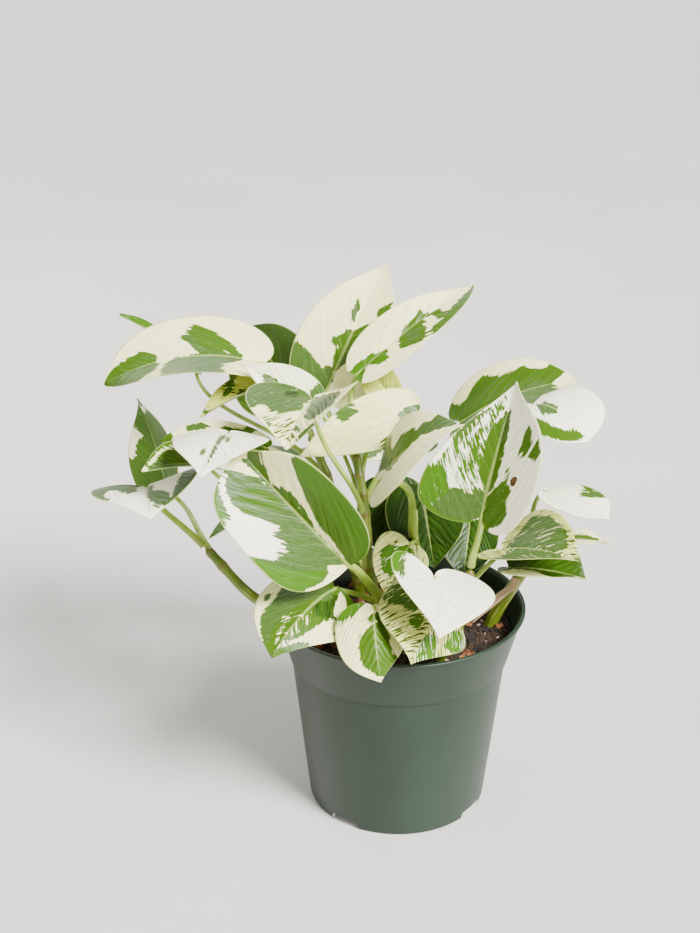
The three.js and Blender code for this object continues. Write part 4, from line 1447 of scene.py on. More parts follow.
@dataclass
class Pot:
    """The moulded nursery pot: a tapered cup with a deep rim band, a lip and drain slots."""

    shape: PotShape
    segments: int = 180

    def profile(self) -> list[Point]:
        """The corners of half a section through the pot, as (radius, height, rounding)."""
        p = self.shape
        step, top = p.band_bottom, p.height
        return [
            (0, p.hollow, 0),
            (p.base_radius - p.foot_ring - 0.8, p.hollow, 0.4),
            (p.base_radius - p.foot_ring, 0, 0.4),
            (p.base_radius, 0, 1.3),
            (p.outer(step - 0.4), step - 0.4, 0.3),
            (p.band_bottom_radius, step + 0.5, 0.35),
            (p.outer(top - p.lip), top - p.lip, 0.4),
            (p.rim_radius, top - p.lip * 0.75, 0.45),
            (p.rim_radius, top, 0.7),
            (p.rim_radius - p.lip * 0.95, top, 0.6),
            (p.inner(top - p.lip), top - p.lip, 0.4),
            (p.inner(step + 0.5), step + 0.5, 0.3),
            (p.inner(step - 0.4), step - 0.4, 0.3),
            (p.inner(p.wall), p.wall, 1.0),
            (0, p.wall, 0),
        ]

    def rounded(self) -> np.ndarray:
        """The section with its corners rounded, and closely spaced rows beside them.

        Returns:
            Its points, as (radius, height), from the axis round to the axis again.
        """
        corners = np.array(self.profile(), float)
        course = [corners[0, :2]]
        for before, (*place, rounding), after in zip(corners[:, :2], corners[1:], corners[2:, :2]):
            here = np.array(place)
            back, onward = unit(before - here), unit(after - here)
            half = math.acos(float(np.clip(back @ onward, -1, 1))) / 2
            room = 0.45 * min(math.dist(before, here), math.dist(after, here))
            cut = min(rounding / math.tan(half), room)
            first, last = here + back * cut, here + onward * cut
            t = np.linspace(0, 1, 7)[:, None]
            arc = (1 - t) ** 2 * first + 2 * (1 - t) * t * here + t**2 * last
            course += [first + back * 0.4 * cut, *arc, last + onward * 0.4 * cut]
        return np.array([*course, corners[-1, :2]])

    def slot_cutter(self, angle: float) -> bpy.types.Object:
        """A block with rounded upper edges that cuts one drain slot out of the bottom corner.

        Args:
            angle: Where round the pot it stands, in degrees.

        Returns:
            The block.
        """
        p = self.shape
        half, top, rounding = p.slot_width / 2, p.slot_height, p.slot_rounding
        right = [(half - rounding + rounding * math.cos(a), top - rounding + rounding * math.sin(a))
                 for a in np.linspace(0, math.pi / 2, 6)]
        outline = [(half, -2.0), *right, *[(-x, z) for x, z in reversed(right)], (-half, -2.0)]
        sin, cos = math.sin(math.radians(angle)), math.cos(math.radians(angle))
        corners = [(x * cos + radius * sin, x * sin - radius * cos, z)
                   for radius in (p.base_radius - p.slot_inset, p.base_radius + 4) for x, z in outline]
        count = len(outline)
        sides = [[i, (i + 1) % count, (i + 1) % count + count, i + count] for i in range(count)]
        faces = [list(range(count))[::-1], list(range(count, 2 * count)), *sides]
        cutter = mesh_object("slot_cutter", np.array(corners), faces)
        outward(cutter)
        return cutter

    def build(self, material: bpy.types.Material) -> None:
        """Builds the pot and cuts its drain slots.

        Args:
            material: What it is moulded in.
        """
        section = self.rounded()
        points = np.insert(section, 1, 0, axis=1)
        pot = mesh_object("pot_cup", points, [], chain(len(points)))
        grow(pot, lathe_tree(), {"Rows": len(points), "Segments": self.segments, "Material": material})
        outward(pot)
        for angle in self.shape.slot_angles:
            cutter = self.slot_cutter(angle)
            modifier = pot.modifiers.new("cut", "BOOLEAN")
            modifier.operation = "DIFFERENCE"
            modifier.solver = "EXACT"
            modifier.object = cutter
            keep_result(pot, modifier)
            bpy.data.objects.remove(cutter)
        pot.data.set_sharp_from_angle(angle=math.radians(50))
        hand_over(pot, "pot")


@dataclass(frozen=True)
class Grains:
    """One kind of loose grain over the mix, with sizes in millimetres.

    Attributes:
        name: The finished object's name.
        spacing: The least distance between two of them.
        density: The most there can be on a square metre.
        smallest: The width of the smallest.
        largest: The width of the largest.
        flatness: Their thickness as a share of their width.
        faces: How many times each is divided.
        seed: What their places and turns are drawn from.
        radius: How far from the pot's middle they reach.
    """

    name: str
    spacing: float
    density: float
    smallest: float
    largest: float
    flatness: float
    faces: int
    seed: int
    radius: float

    def inputs(self) -> dict[str, Any]:
        """The scattering tree's inputs, in metres."""
        return {"Spacing": self.spacing * MM, "Density": self.density, "Smallest": self.smallest * MM,
                "Largest": self.largest * MM, "Flatness": self.flatness, "Faces": self.faces,
                "Seed": self.seed}


@dataclass
class PottingMix:
    """The potting mix: a crumbly body, with peat crumbs, bark and grit over its surface."""

    pot: PotShape
    surface: float = 80
    crown: float = 2
    bumps: float = 0.7
    sectors: int = 120
    rings: int = 44
    layers: tuple[Grains, ...] = (
        Grains("peat_crumbs", 1.5, 420000.0, 1.3, 3.0, 0.7, 1, 3, 46.5),
        Grains("bark_chips", 5.5, 14000.0, 4.0, 8.5, 0.4, 2, 11, 43),
        Grains("grit_grains", 4.5, 18000.0, 1.1, 2.6, 0.7, 2, 29, 46),
    )

    def height(self, x: np.ndarray, y: np.ndarray) -> np.ndarray:
        """The height of the mix's surface."""
        reach = np.hypot(x, y) / self.pot.inner(self.surface)
        waves = np.sin(x * 0.41 + 1) * np.cos(y * 0.37) + np.sin(x * 0.17 - y * 0.23)
        return self.surface + self.crown * (1 - reach**2) + self.bumps * waves * (1 - reach**4)

    def body(self) -> tuple[np.ndarray, list[list[int]], list[list[int]]]:
        """The closed body.

        Returns:
            Its corners, the faces of its sides and base, and those of its top.
        """
        pot, floor, step = self.pot, self.pot.wall + CLEARANCE, self.pot.band_bottom
        angles = np.arange(self.sectors) / self.sectors * math.tau
        levels = [(pot.inner(floor), floor), (pot.inner(step - 0.6), step - 0.6),
                  (pot.inner(step), step + 0.6)]
        loops = [np.stack([(r - CLEARANCE) * np.cos(angles), (r - CLEARANCE) * np.sin(angles),
                           np.full(self.sectors, z)], 1) for r, z in levels]
        rim = pot.inner(self.surface) - CLEARANCE
        for ring in range(self.rings, 0, -1):
            x, y = rim * ring / self.rings * np.cos(angles), rim * ring / self.rings * np.sin(angles)
            loops.append(np.stack([x, y, self.height(x, y)], 1))
        crest = float(self.height(np.zeros(1), np.zeros(1))[0])
        corners = np.vstack([*loops, [[0, 0, floor]], [[0, 0, crest]]])
        bottom, top = len(corners) - 2, len(corners) - 1
        walls: list[list[int]] = []
        upper: list[list[int]] = []
        last = (len(loops) - 1) * self.sectors
        for k in range(self.sectors):
            n = (k + 1) % self.sectors
            walls.append([bottom, n, k])
            upper.append([top, last + k, last + n])
            for loop in range(len(loops) - 1):
                a, b = loop * self.sectors, (loop + 1) * self.sectors
                target = walls if loop < len(levels) else upper
                target.append([a + k, a + n, b + n, b + k])
        return corners, walls, upper

    def build(self, peat: Crumb, bark: Crumb, grit: Crumb) -> None:
        """Builds the mix.

        Args:
            peat: The fine dark crumbs, which the body is made of too.
            bark: The reddish chips.
            grit: The pale grains.
        """
        corners, walls, top = self.body()
        body = mesh_object("soil_body", corners, walls + top)
        materials = [crumb.build() for crumb in (peat, bark, grit)]
        body.data.materials.append(materials[0])
        pieces = [body]
        tree = scatter_tree()
        reach = np.hypot(corners[:, 0], corners[:, 1])
        for layer, material in zip(self.layers, materials):
            grains = mesh_object(layer.name, corners, [f for f in top if reach[f].max() < layer.radius])
            grow(grains, tree, {**layer.inputs(), "Material": material})
            pieces.append(grains)
        for piece in pieces:
            hand_over(piece, "soil")


@dataclass
class DrySheath:
    """A dead leaf sheath that still clasps the vine, as a thin curled ribbon."""

    points: tuple[Point, ...] = (
        (31, -6, 86), (37, -5, 93), (43, -3, 98.5), (48, -1, 101.5), (50, 4, 103))
    half_widths: tuple[float, ...] = (0.6, 2, 2.6, 2.2, 1.4)
    thickness: float = 0.35
    cupping: float = 0.5
    rows: int = 40
    columns: int = 9
    # Its length and half its width on the fibres' pattern
    pattern: Pair = (28, 2.5)

    def faces(self) -> list[list[int]]:
        """The faces of the closed ribbon: its upper side, its under side and its rim."""
        rows, columns = self.rows, self.columns
        count = rows * columns
        upper = [[a, a + 1, a + columns + 1, a + columns]
                 for row in range(rows - 1) for a in range(row * columns, row * columns + columns - 1)]
        under = [[i + count for i in reversed(face)] for face in upper]
        border = [*range(columns), *range(2 * columns - 1, count, columns)]
        border += [*range(count - 2, count - columns - 1, -1), *range(count - 2 * columns, 0, -columns)]
        rim = [[b, a, a + count, b + count] for a, b in zip(border, border[1:] + border[:1])]
        return upper + under + rim

    def build(self, material: bpy.types.Material) -> None:
        """Builds the sheath.

        Args:
            material: What it is made of.
        """
        path, share = smooth_path(self.points, self.rows), np.linspace(0, 1, self.rows)
        half = np.interp(share, np.linspace(0, 1, len(self.half_widths)), self.half_widths)
        ahead = np.gradient(path, axis=0)
        sides = np.array([unit(np.cross(a, [0, 0, 1])) for a in ahead])
        ups = np.array([unit(np.cross(s, a)) for s, a in zip(sides, ahead)])
        u = np.linspace(-1, 1, self.columns)
        dip = self.cupping * (u**2)[None, :] * half[:, None] * 0.5
        upper = (path[:, None] + (u[None, :] * half[:, None])[..., None] * sides[:, None]
                 - dip[..., None] * ups[:, None])
        lower = upper - self.thickness * ups[:, None]
        corners = np.vstack([upper.reshape(-1, 3), lower.reshape(-1, 3)])
        piece = mesh_object("dry_sheath", corners, self.faces())
        outward(piece)
        length, half_width = self.pattern
        run = np.repeat(share * length, self.columns)
        store_uv(piece, "stalk", np.tile(u * half_width, 2 * self.rows), np.tile(run, 2))
        piece.data.materials.append(material)
        hand_over(piece, "stem_right_edge")


@dataclass
class Studio:
    """Camera, soft studio lights and a wide pale floor."""

    camera_at: Point = (0, -0.569, 0.395)
    looks_along: Point = (-0.0338, 0.9206, -0.3891)
    camera_up: Point = (-0.01426, 0.3888, 0.9212)
    lens: float = 57.9
    # What the lights face, in metres
    aim: Point = (0, 0, 0.11)
    surroundings: str = "#f2f1ee"
    brightness: float = 0.6
    # Half the floor's side
    floor_mm: float = 9000

    def camera(self) -> None:
        """Sets the camera where the photograph was taken from."""
        data = bpy.data.cameras.new("camera")
        data.lens = self.lens
        data.sensor_width = 36
        data.clip_start = 0.01
        camera = in_scene("camera", data)
        back = -Vector(self.looks_along).normalized()
        right = Vector(self.camera_up).cross(back).normalized()
        turn = camera.matrix_world.to_3x3()
        turn.col[0], turn.col[1], turn.col[2] = right, back.cross(right), back
        camera.matrix_world = turn.to_4x4()
        camera.matrix_world.translation = Vector(self.camera_at)
        bpy.context.scene.camera = camera

    def light(self, name: str, lamp: Lamp, at: Point, size: float, power: float) -> None:
        """Adds a soft white light that faces the plant.

        Args:
            name: The light's name.
            lamp: What kind it is.
            at: Where it stands, in metres.
            size: A softbox's side in metres, or how wide a sun looks in radians.
            power: A softbox's power in watts, or a sun's in watts a square metre.
        """
        data = bpy.data.lights.new(name, lamp.value)
        setattr(data, "angle" if lamp is Lamp.SUN else "size", size)
        data.energy = power
        light = in_scene(name, data)
        light.location = at
        light.rotation_euler = (Vector(self.aim) - Vector(at)).to_track_quat("-Z", "Y").to_euler()

    def build(self) -> None:
        """Builds the whole studio."""
        self.camera()
        self.light("key_light", Lamp.SUN, (0.6, -0.6, 0.9), 0.4, 11.0)
        self.light("side_light", Lamp.SOFTBOX, (0.75, -0.4, 0.4), 0.5, 4.0)
        self.light("fill_light", Lamp.SOFTBOX, (-0.7, -0.6, 0.5), 0.6, 2.5)
        self.light("back_light", Lamp.SOFTBOX, (-0.3, 0.7, 0.7), 0.6, 5.0)
        world = bpy.data.worlds.new("studio")
        world.use_nodes = True
        background = world.node_tree.nodes["Background"]
        background.inputs["Color"].default_value = hex_to_linear(self.surroundings)
        background.inputs["Strength"].default_value = self.brightness
        bpy.context.scene.world = world
        corners = np.array([(-1, -1, 0), (1, -1, 0), (1, 1, 0), (-1, 1, 0)]) * self.floor_mm
        floor = mesh_object("floor", corners, [(0, 1, 2, 3)])
        floor.data.materials.append(StudioFloor().build())


VINES = [
    Vine("left", 2.4, ((-20, -8, 58), (-27, -13, 82), (-41, -22, 95), (-59, -25, 106), (-79, -20, 126))),
    Vine("front", 2.5, ((4, -6, 58), (4, -9, 80), (0, -16, 93), (-6, -23, 104))),
    Vine("centre", 2.3, ((-4, 2, 58), (-7, 0, 82), (-13, 1, 106), (-15, 4, 134), (-19, 12, 156))),
    Vine("inner", 2.2, ((12, 4, 58), (12, 3, 82), (10, 2, 104), (6, 0, 122))),
    Vine("front_right", 2.1, ((12, -22, 58), (17, -29, 80), (20, -31, 92), (20, -28, 101))),
    Vine("right", 2.4, ((23, -2, 58), (25, -7, 82), (28, -13, 100), (29, -18, 117))),
    Vine("right_edge", 2.9, ((36, 6, 58), (40, 2, 82), (45, 2, 93), (52, 6, 104), (54, 9, 112))),
    Vine("back_right", 2.2, ((22, 24, 58), (24, 27, 82), (28, 34, 106), (33, 42, 130), (36, 48, 144))),
    Vine("back", 2.3, ((-14, 24, 58), (-17, 27, 82), (-24, 33, 108), (-33, 40, 134), (-40, 42, 152))),
]

LEAVES = [
    Leaf("top_left", "back", 0.98, (-60, 38, 186), (-126, 25, 180), (-0.1, -0.2, 1), width=50, fold=(7, 14),
         arch=54, radius=1.3, full=1.2, fleck=0.2, markings=(
        patch(GREEN, (-100, 76), (-80, 75.5), (-33, 76), (0, 80), (30, 77), (52, 79), (65, 87), (90, 95),
            (100, 100), (-100, 100)),
        patch(GREY, (-100, 52), (-100, 60), (-81, 67), (-43, 72), (0, 72), (3, 62), (10, 48), (10, 36),
            (-2, 34), (-19, 43), (-43, 50)),
        patch(GREY, (10, 60), (55, 61), (60, 58), (30, 57), (10, 50)),
        patch(GREEN, (10, 40), (14, 54), (30, 57), (52, 59), (83, 55.5), (52, 49), (27, 41)),
    )),
    Leaf("back_far_left", "back", 0.7, (-95, 84, 168), (-127, 74, 196.5), (0.5, 0, 0.85), width=15, fold=10,
         arch=20, curl=0, ground=GREEN, fleck=0.1, tint=0.8),
    Leaf("back_green", "back", 0.9, (-48, 56, 164), (-67, 72, 192), (-0.5, -0.8, 0.5), width=44, fold=16,
         arch=20, full=1, ground=GREEN, fleck=0.1, tint=0.55, markings=(
        patch(CREAM, (-100, 75), (-100, 95), (-55, 90), (-35, 80), (-60, 72)),
    )),
    Leaf("top_centre", "centre", 0.9, (-33, 33, 174), (-7, 55, 226), (-0.15, -0.85, 0.5), width=42,
         fold=(14, 4), arch=16, lobe=0.1, radius=1.3, full=0.5, fleck=0.15, markings=(
        patch(GREY, (-100, 0), (-100, 12), (100, 12), (100, 0)),
        patch(GREEN, (-33, 56), (-12, 56), (-12, 48), (-2, 36), (14, 48), (30, 60), (38, 70), (19, 70),
            (-10, 66), (-20, 60)),
        patch(GREY, (-33, 78), (-17, 76), (-10, 69), (-22, 71)),
        patch(GREY, (-100, 20), (-100, 50), (-60, 47), (-30, 40), (-10, 42), (5, 30), (5, 10), (-40, 10)),
        patch(GREEN, (50, 76), (95, 78), (67, 68), (50, 64)),
    )),
    Leaf("top_right", "centre", 0.98, (-19, 22, 187), (30, 46, 220), (-0.35, -0.75, 0.6), width=24,
         fold=(10, 14), arch=24, lobe=0.06, radius=1.2, full=(0.25, 1.6), fleck=0.25, markings=(
        patch(GREEN, (-38, 72), (-5, 74.5), (19, 70), (52, 63), (86, 57), (52, 53), (19, 56), (-10, 63)),
        patch(GREY, (0, 64), (30, 65), (60, 59), (50, 56), (20, 59)),
        patch(GREEN, (-8, 75), (15, 80), (50, 75), (90, 68), (50, 72), (20, 77)),
        patch(GREEN, (58, 88), (75, 98), (100, 98), (100, 60), (75, 62)),
        patch(BRIGHT, (-100, 0), (-100, 10), (-67, 17), (-43, 27), (-24, 34), (-10, 42), (14, 48), (38, 46),
            (43, 40), (19, 36), (2, 31), (5, 27), (38, 24), (100, 22), (100, 0)),
    )),
    Leaf("lime_inner", "centre", 0.82, (-4, 25, 175), (-18, 35, 193), (-0.3, -0.8, 0.5), width=16, fold=12,
         arch=30, lobe=0.04, radius=1, via=(-10, 30, 160), fleck=0.1, tint=0, markings=(
        patch(BRIGHT, (-100, 65), (-100, 87), (0, 92), (100, 84), (100, 70), (60, 78), (0, 86), (-60, 79)),
    )),
    Leaf("right_back_green", "back_right", 0.98, (27, 58, 153), (78, 56, 174), (-0.1, -0.4, 0.9), width=40,
         fold=(2, 12), arch=40, lobe=0.2, radius=1.2, full=1, ground=GREEN, fleck=0.2, tint=0.45, markings=(
        patch(CREAM, (-100, 90), (0, 88), (50, 85), (100, 78), (100, 100), (-100, 100)),
        patch(CREAM, (-100, 82), (-80, 80), (-68, 72), (-78, 66), (-60, 59), (-82, 50), (-55, 38), (-65, 30),
            (-100, 30)),
        patch(GREEN, (30, 80), (90, 72), (90, 67), (30, 74)),
        patch(GREY, (-30, 84), (10, 84), (10, 74), (-20, 70)),
    )),
    Leaf("right_back_white", "back_right", 0.88, (55, 28, 173), (77, 6, 164.5), (0.3, -0.5, 0.8), width=40,
         fold=6, arch=70, curl=-4, lobe=0.2, via=(52, 26, 150), full=1.8, ground=WHITE, fleck=0.15,
         tint=0.85, markings=(
        patch(GREY, (-10, 42), (-5, 60), (10, 65), (35, 56), (20, 44), (10, 34)),
        patch(GREEN, (10, 95), (75, 93), (90, 85), (98, 60), (100, 50), (55, 55), (60, 70), (50, 82),
            (20, 88)),
        patch(GREY, (-100, 0), (-100, 22), (-20, 20), (10, 10), (10, 0)),
    )),
    Leaf("right_front_big", "right", 0.98, (32, -28, 145), (45, -12, 197), (-0.3, -0.85, 0.4), width=54,
         fold=(10, 34), arch=14, curl=2, wave=1.2, lobe=0.12, radius=1.4, full=(0, 0.3), widest=(0.1, 0.42),
         ground=WHITE, fleck=0.3, tint=0.75, markings=(
        patch(GREY, (-90, 15), (-88, 36), (-80, 39), (-67, 42), (-48, 48), (-29, 46), (-10, 44), (3, 40),
            (3, 10), (-48, 8), (-76, 13)),
        patch(BRIGHT, (-100, 55), (-86, 59), (-68, 56), (-57, 48), (-66, 43), (-86, 38), (-90, 24),
            (-76, 12), (-50, 6), (-50, 0), (-100, 0)),
        patch(GREEN, (-33, 79), (-10, 87), (19, 87), (19, 77), (14, 60), (10, 46), (0, 40), (-10, 48),
            (-21, 58), (-30, 70)),
        patch(GREY, (-12, 87), (20, 87), (20, 77), (10, 71), (-5, 75)),
        patch(GREEN, (-62, 75), (-50, 78), (-44, 72), (-57, 69)),
        patch(GREEN, (-57, 83), (-40, 83), (-30, 78), (-45, 79)),
        patch(GREEN, (-43, 71), (-29, 60), (-34, 57), (-48, 66)),
        patch(GREY, (-98, 80), (-86, 84), (-74, 78), (-76, 67), (-95, 71)),
        patch(GREEN, (-76, 92), (-29, 87), (-40, 86), (-70, 90)),
        patch(FLECKED, (-90, 94), (-40, 92), (-20, 65), (-10, 42), (-30, 40), (-50, 52), (-90, 60)),
        patch(GREEN, (3, 0), (6, 40), (14, 47), (33, 49), (52, 46), (48, 40), (62, 35), (67, 24), (71, 15),
            (100, 8), (100, 0)),
        patch(GREEN, (51, 61), (67, 70), (80, 73), (80, 67), (67, 61)),
        patch(GREEN, (72, 59), (93, 64), (95, 59), (80, 56)),
        patch(GREEN, (30, 55), (36, 56), (36, 53), (30, 53)),
        patch(DRY, (42, 49.5), (44.5, 50.9), (50, 51.5), (55.5, 50.9), (58, 49.5), (55.5, 48.1), (50, 47.5),
            (44.5, 48.1)),
    )),
    Leaf("centre_right", "inner", 0.97, (-8, -16, 156), (24, -31, 186), (-0.44, -0.31, 0.84), width=38,
         fold=8, arch=50, curl=-4, lobe=0.2, radius=1.6, via=(10, -8, 152), full=0.3, fleck=0.15, tint=0.6,
         markings=(
        patch(GREY, (-100, 79), (-100, 93), (-67, 95), (-29, 92), (-18, 80), (-28, 70), (-57, 72),
            (-76, 79)),
        patch(GREEN, (-100, 22), (-100, 44), (-62, 46), (-33, 47), (-48, 56), (-52, 66), (-20, 73), (-5, 68),
            (14, 54), (20, 49), (10, 41), (-5, 33), (-29, 27), (-76, 22)),
    )),
    Leaf("centre_cream", "centre", 0.74, (7, 18, 172), (-42, 4, 157), (-0.1, -0.7, 0.7), width=28, fold=12,
         arch=26, lobe=0.08, full=0.3, fleck=0.15, tint=0.3, markings=(
        patch(GREEN, (57, 70), (86, 69), (100, 64), (67, 61)),
        patch(GREY, (0, 40), (30, 33), (50, 22), (90, 10), (100, 0), (0, 0)),
        patch(GREEN, (-100, 52), (-100, 58), (-70, 55), (-40, 45), (-55, 47)),
    )),
    Leaf("speckled", "centre", 0.66, (-36, 0, 184), (-45, -32, 175), (-0.1, -0.35, 0.93), width=50,
         fold=(26, 12), arch=40, wave=1.5, via=(-34, -10, 160), full=0.2, fleck=0.45, tint=0.45, markings=(
        patch(GREY, (-85, 66), (-57, 74), (-19, 70), (-14, 58), (-7, 34), (-5, 5), (-50, 5), (-55, 40)),
        patch(GREY, (5, 5), (5, 58), (33, 66), (52, 67), (70, 60), (90, 66), (100, 66), (100, 5)),
        # Painted shade: a darker green patch where this blade lies in shade
        patch(DARK, (24, 36), (43, 43), (57, 34), (62, 20), (38, 24)),
        patch(GREY, (-100, 78), (-95, 90), (-70, 88), (-75, 80)),
        patch(FLECKED, (-60, 80), (-50, 95), (90, 95), (90, 72), (30, 70)),
    )),
    Leaf("small_white", "centre", 0.62, (-36, 14, 176), (-66.5, 12, 195), (-0.1, -0.7, 0.6), width=20,
         fold=10, arch=24, wave=0.6, lobe=0.1, radius=0.9, fleck=0.15, tint=0.8, markings=(
        patch(GREY, (-100, 0), (-100, 38), (-40, 36), (0, 25), (50, 40), (100, 35), (100, 0)),
        patch(GREY, (-76, 70), (-48, 75), (0, 85), (14, 79), (10, 70), (-29, 68), (-67, 67)),
        patch(GREEN, (-100, 60), (-48, 60), (-19, 59), (0, 53), (19, 43), (14, 40), (-10, 43), (-48, 49),
            (-86, 54)),
    )),
    Leaf("left_lime", "back", 0.8, (-59, 26, 180), (-84.5, 16, 169.5), (-0.6, -0.4, 0.7), width=18, fold=30,
         arch=20, curl=0, wave=0.6, lobe=0.1, radius=0.9, fleck=0.6, tint=0, markings=(
        patch(BRIGHT, (-100, 56.5), (0, 60), (19, 50), (0, 53), (-100, 53)),
        patch(GREEN, (29, 70), (48, 60), (76, 53), (100, 46), (100, 54), (67, 62), (38, 72)),
        patch(GREEN, (-100, 90), (-100, 94), (100, 94), (100, 90)),
    )),
    Leaf("left_strip", "back", 0.6, (-56, 4, 161), (-100, 4, 163), (0, -0.25, 0.95), width=18, fold=6,
         arch=60, curl=0, wave=0.8, lobe=0.1, radius=0.9, full=0.4, fleck=0.15, tint=0.6, markings=(
        patch(GREEN, (-100, 88), (0, 93), (100, 88), (100, 100), (-100, 100)),
        patch(GREY, (38, 81), (81, 78), (86, 70), (52, 67), (38, 72)),
        patch(GREEN, (19, 53), (43, 60), (52, 56), (48, 48), (100, 46), (100, 41), (48, 41), (29, 47)),
        patch(GREEN, (-100, 0), (-100, 17), (-43, 40), (-24, 36), (0, 29), (100, 29), (100, 0)),
    )),
    Leaf("left_white", "centre", 0.5, (-68, -20, 177), (-75, -56, 173), (-0.1, -0.3, 0.95), width=38, fold=4,
         arch=50, curl=-8, wave=0.8, radius=1.2, full=0.2, ground=WHITE, fleck=0.3, tint=0.9, markings=(
        patch(GREY, (-29, 97), (-10, 79), (-2, 65), (2, 41), (-5, 46), (-12, 68), (-26, 89)),
        patch(GREEN, (21, 81), (33, 79), (21, 74)),
        patch(GREEN, (-25, 62), (-16, 50), (-19, 50), (-27, 60)),
    )),
    Leaf("left_green_white", "centre", 0.42, (-77, -14, 160), (-101, -34, 166), (-0.2, -0.4, 0.85), width=24,
         fold=24, arch=30, curl=0, wave=0.6, radius=1, full=0.3, ground=GREEN, fleck=0.1, markings=(
        patch(GREY, (-100, 93), (0, 91), (43, 83), (19, 77), (-100, 77)),
        patch(CREAM, (-100, 94), (-100, 100), (100, 100), (100, 94)),
        patch(CREAM, (50, 94), (85, 90), (90, 70), (75, 50), (62, 53), (70, 75), (45, 85)),
        patch(CREAM, (-100, 0), (-100, 60), (0, 52), (60, 52), (100, 50), (100, 0)),
    )),
    Leaf("far_left_upright", "left", 0.9, (-101, 20, 133), (-115, 38, 169), (-0.75, -0.6, 0.3), width=34,
         fold=14, arch=-20, curl=0, radius=1.2, full=(0.2, 0.9), ground=GREEN, fleck=0.15, tint=0.7,
         markings=(
        patch(BRIGHT, (-100, 84), (-100, 96), (100, 96), (100, 86), (30, 88)),
        patch(CREAM, (-100, 83), (-76, 80), (-43, 74), (-67, 70), (-76, 60), (-100, 60)),
        patch(CREAM, (0, 98), (40, 94), (100, 86), (100, 80), (50, 87), (10, 91)),
        patch(GREY, (60, 68), (100, 65), (100, 58), (70, 62)),
    )),
    Leaf("low_left_boat", "left", 0.98, (-104.5, -5, 146), (-97, -46, 151), (0, -0.2, 0.95), width=45,
         fold=(24, 9), arch=36, curl=-4, lobe=(0.02, 0.14), radius=1.3, full=0.8, widest=(0.42, 0.27),
         ground=WHITE, tint=0.85, markings=(
        patch(GREY, (-95, 86), (-76, 87), (-43, 87.5), (-14, 81), (0, 74), (2, 64), (-43, 72), (-71, 77),
            (-90, 83)),
        patch(GREEN, (-100, 90), (-85, 82), (-70, 70), (-65, 55), (-80, 42), (-100, 42)),
        patch(GREY, (-10, 10), (-10, 60), (-3, 68), (-2, 10)),
        patch(GREY, (21, 60), (40, 62), (55, 52), (70, 50), (82, 60), (88, 70), (100, 74), (100, 5), (40, 8),
            (22, 30)),
    )),
    # Painted reflection: this blade's grey ground and its paler feathers stand partly for real grey-green
    # tissue and partly for the sheen on its glossy left half; the bright green wings are where no sheen falls
    Leaf("front_left_big", "front", 0.98, (-20, -38, 128), (-62.5, -36, 176.5), (0, -0.98, 0.05), width=51,
         fold=(26, 27), arch=16, curl=2, lobe=0, radius=1.9, full=(2.2, 0.8), widest=(0.34, 0.46),
         ground=GREY, fleck=0.22, markings=(
        patch(GREEN, (-76, 74), (-57, 81), (-24, 83), (-8, 77), (-12, 70), (-48, 70), (-71, 69)),
        patch(WHITE, (-100, 93), (-84, 89), (-76, 76), (-66, 70), (-50, 68), (-26, 61), (-50, 58), (-42, 52),
            (-76, 52), (-100, 58), (-100, 64), (-88, 68), (-90, 78), (-97, 84), (-100, 85)),
        patch(CREAM, (-100, 95.5), (-40, 95.5), (-13, 92), (-6, 83), (-20, 88), (-50, 90), (-100, 93)),
        patch(BRIGHT, (-100, 83), (-95, 80), (-88, 73), (-88, 67), (-100, 65)),
        patch(BRIGHT, (-97, 55), (-76, 50), (-57, 41), (-38, 30), (-48, 27), (-76, 28), (-90, 34),
            (-100, 44)),
        patch(CREAM, (-100, 42), (-90, 33), (-76, 27), (-48, 26), (-38, 30), (-30, 32), (-10, 15), (-30, 0),
            (-100, 0)),
        patch(CREAM, (26, 85), (52, 88), (100, 90), (100, 62), (86, 70), (62, 67), (38, 61), (21, 55),
            (14, 46), (17, 39), (10, 27), (8, 10), (1, 10), (0, 27), (-1, 55), (8, 57), (26, 70), (20, 77),
            (10, 79), (2, 83)),
        patch(GREEN, (21, 54), (38, 61), (62, 67), (50, 50), (42, 30), (40, 10), (24, 12), (13, 24),
            (14, 34), (17, 43)),
        patch(BRIGHT, (62, 67), (81, 69), (100, 63), (100, 10), (40, 10), (42, 30), (50, 50)),
        patch(GREEN, (1, 77), (20, 76), (27, 70), (10, 58), (0, 57)),
        patch(GREEN, (-14, 92), (38, 92), (27, 86), (-2, 84)),
        patch(CREAM, (-100, 95.5), (-100, 100), (100, 100), (100, 95.5)),
    )),
    Leaf("left_dark_tip", "back", 0.3, (-60, 4, 131), (-80, -4, 123), (-0.2, 0.1, 0.9), width=20, fold=10,
         arch=20, curl=0, wave=0.4, lobe=0.1, radius=0.9, ground=GREEN, fleck=0.1, tint=0.3),
    Leaf("low_left_front", "front", 0.75, (-26, -30, 114), (-49, -66, 102), (-0.3, -0.6, 0.7), width=46,
         fold=(-32, 4), arch=40, curl=-3, wave=1.2, radius=1.2, full=(0, 0.9), widest=(0.12, 0.27),
         ground=GREEN, fleck=0.3, markings=(
        patch(CREAM, (-100, 50), (-100, 85), (-83, 80), (-57, 88), (-38, 94), (-42, 86), (-47, 79),
            (-38, 67), (-40, 55), (-57, 56), (-76, 66)),
        patch(FLECKED, (-45, 92), (40, 96), (40, 70), (-10, 62), (-30, 70)),
        patch(CREAM, (-40, 90), (-10, 95), (5, 93), (-10, 90), (-30, 87)),
        patch(CREAM, (15, 93), (35, 93), (33, 80), (25, 70), (20, 78), (20, 86)),
        patch(GREY, (4, 30), (4, 50), (20, 60), (30, 70), (45, 78), (66, 90), (92, 92), (84, 74), (70, 65),
            (70, 50), (60, 30)),
        # Painted shade: the darker green of the blade's shaded left half
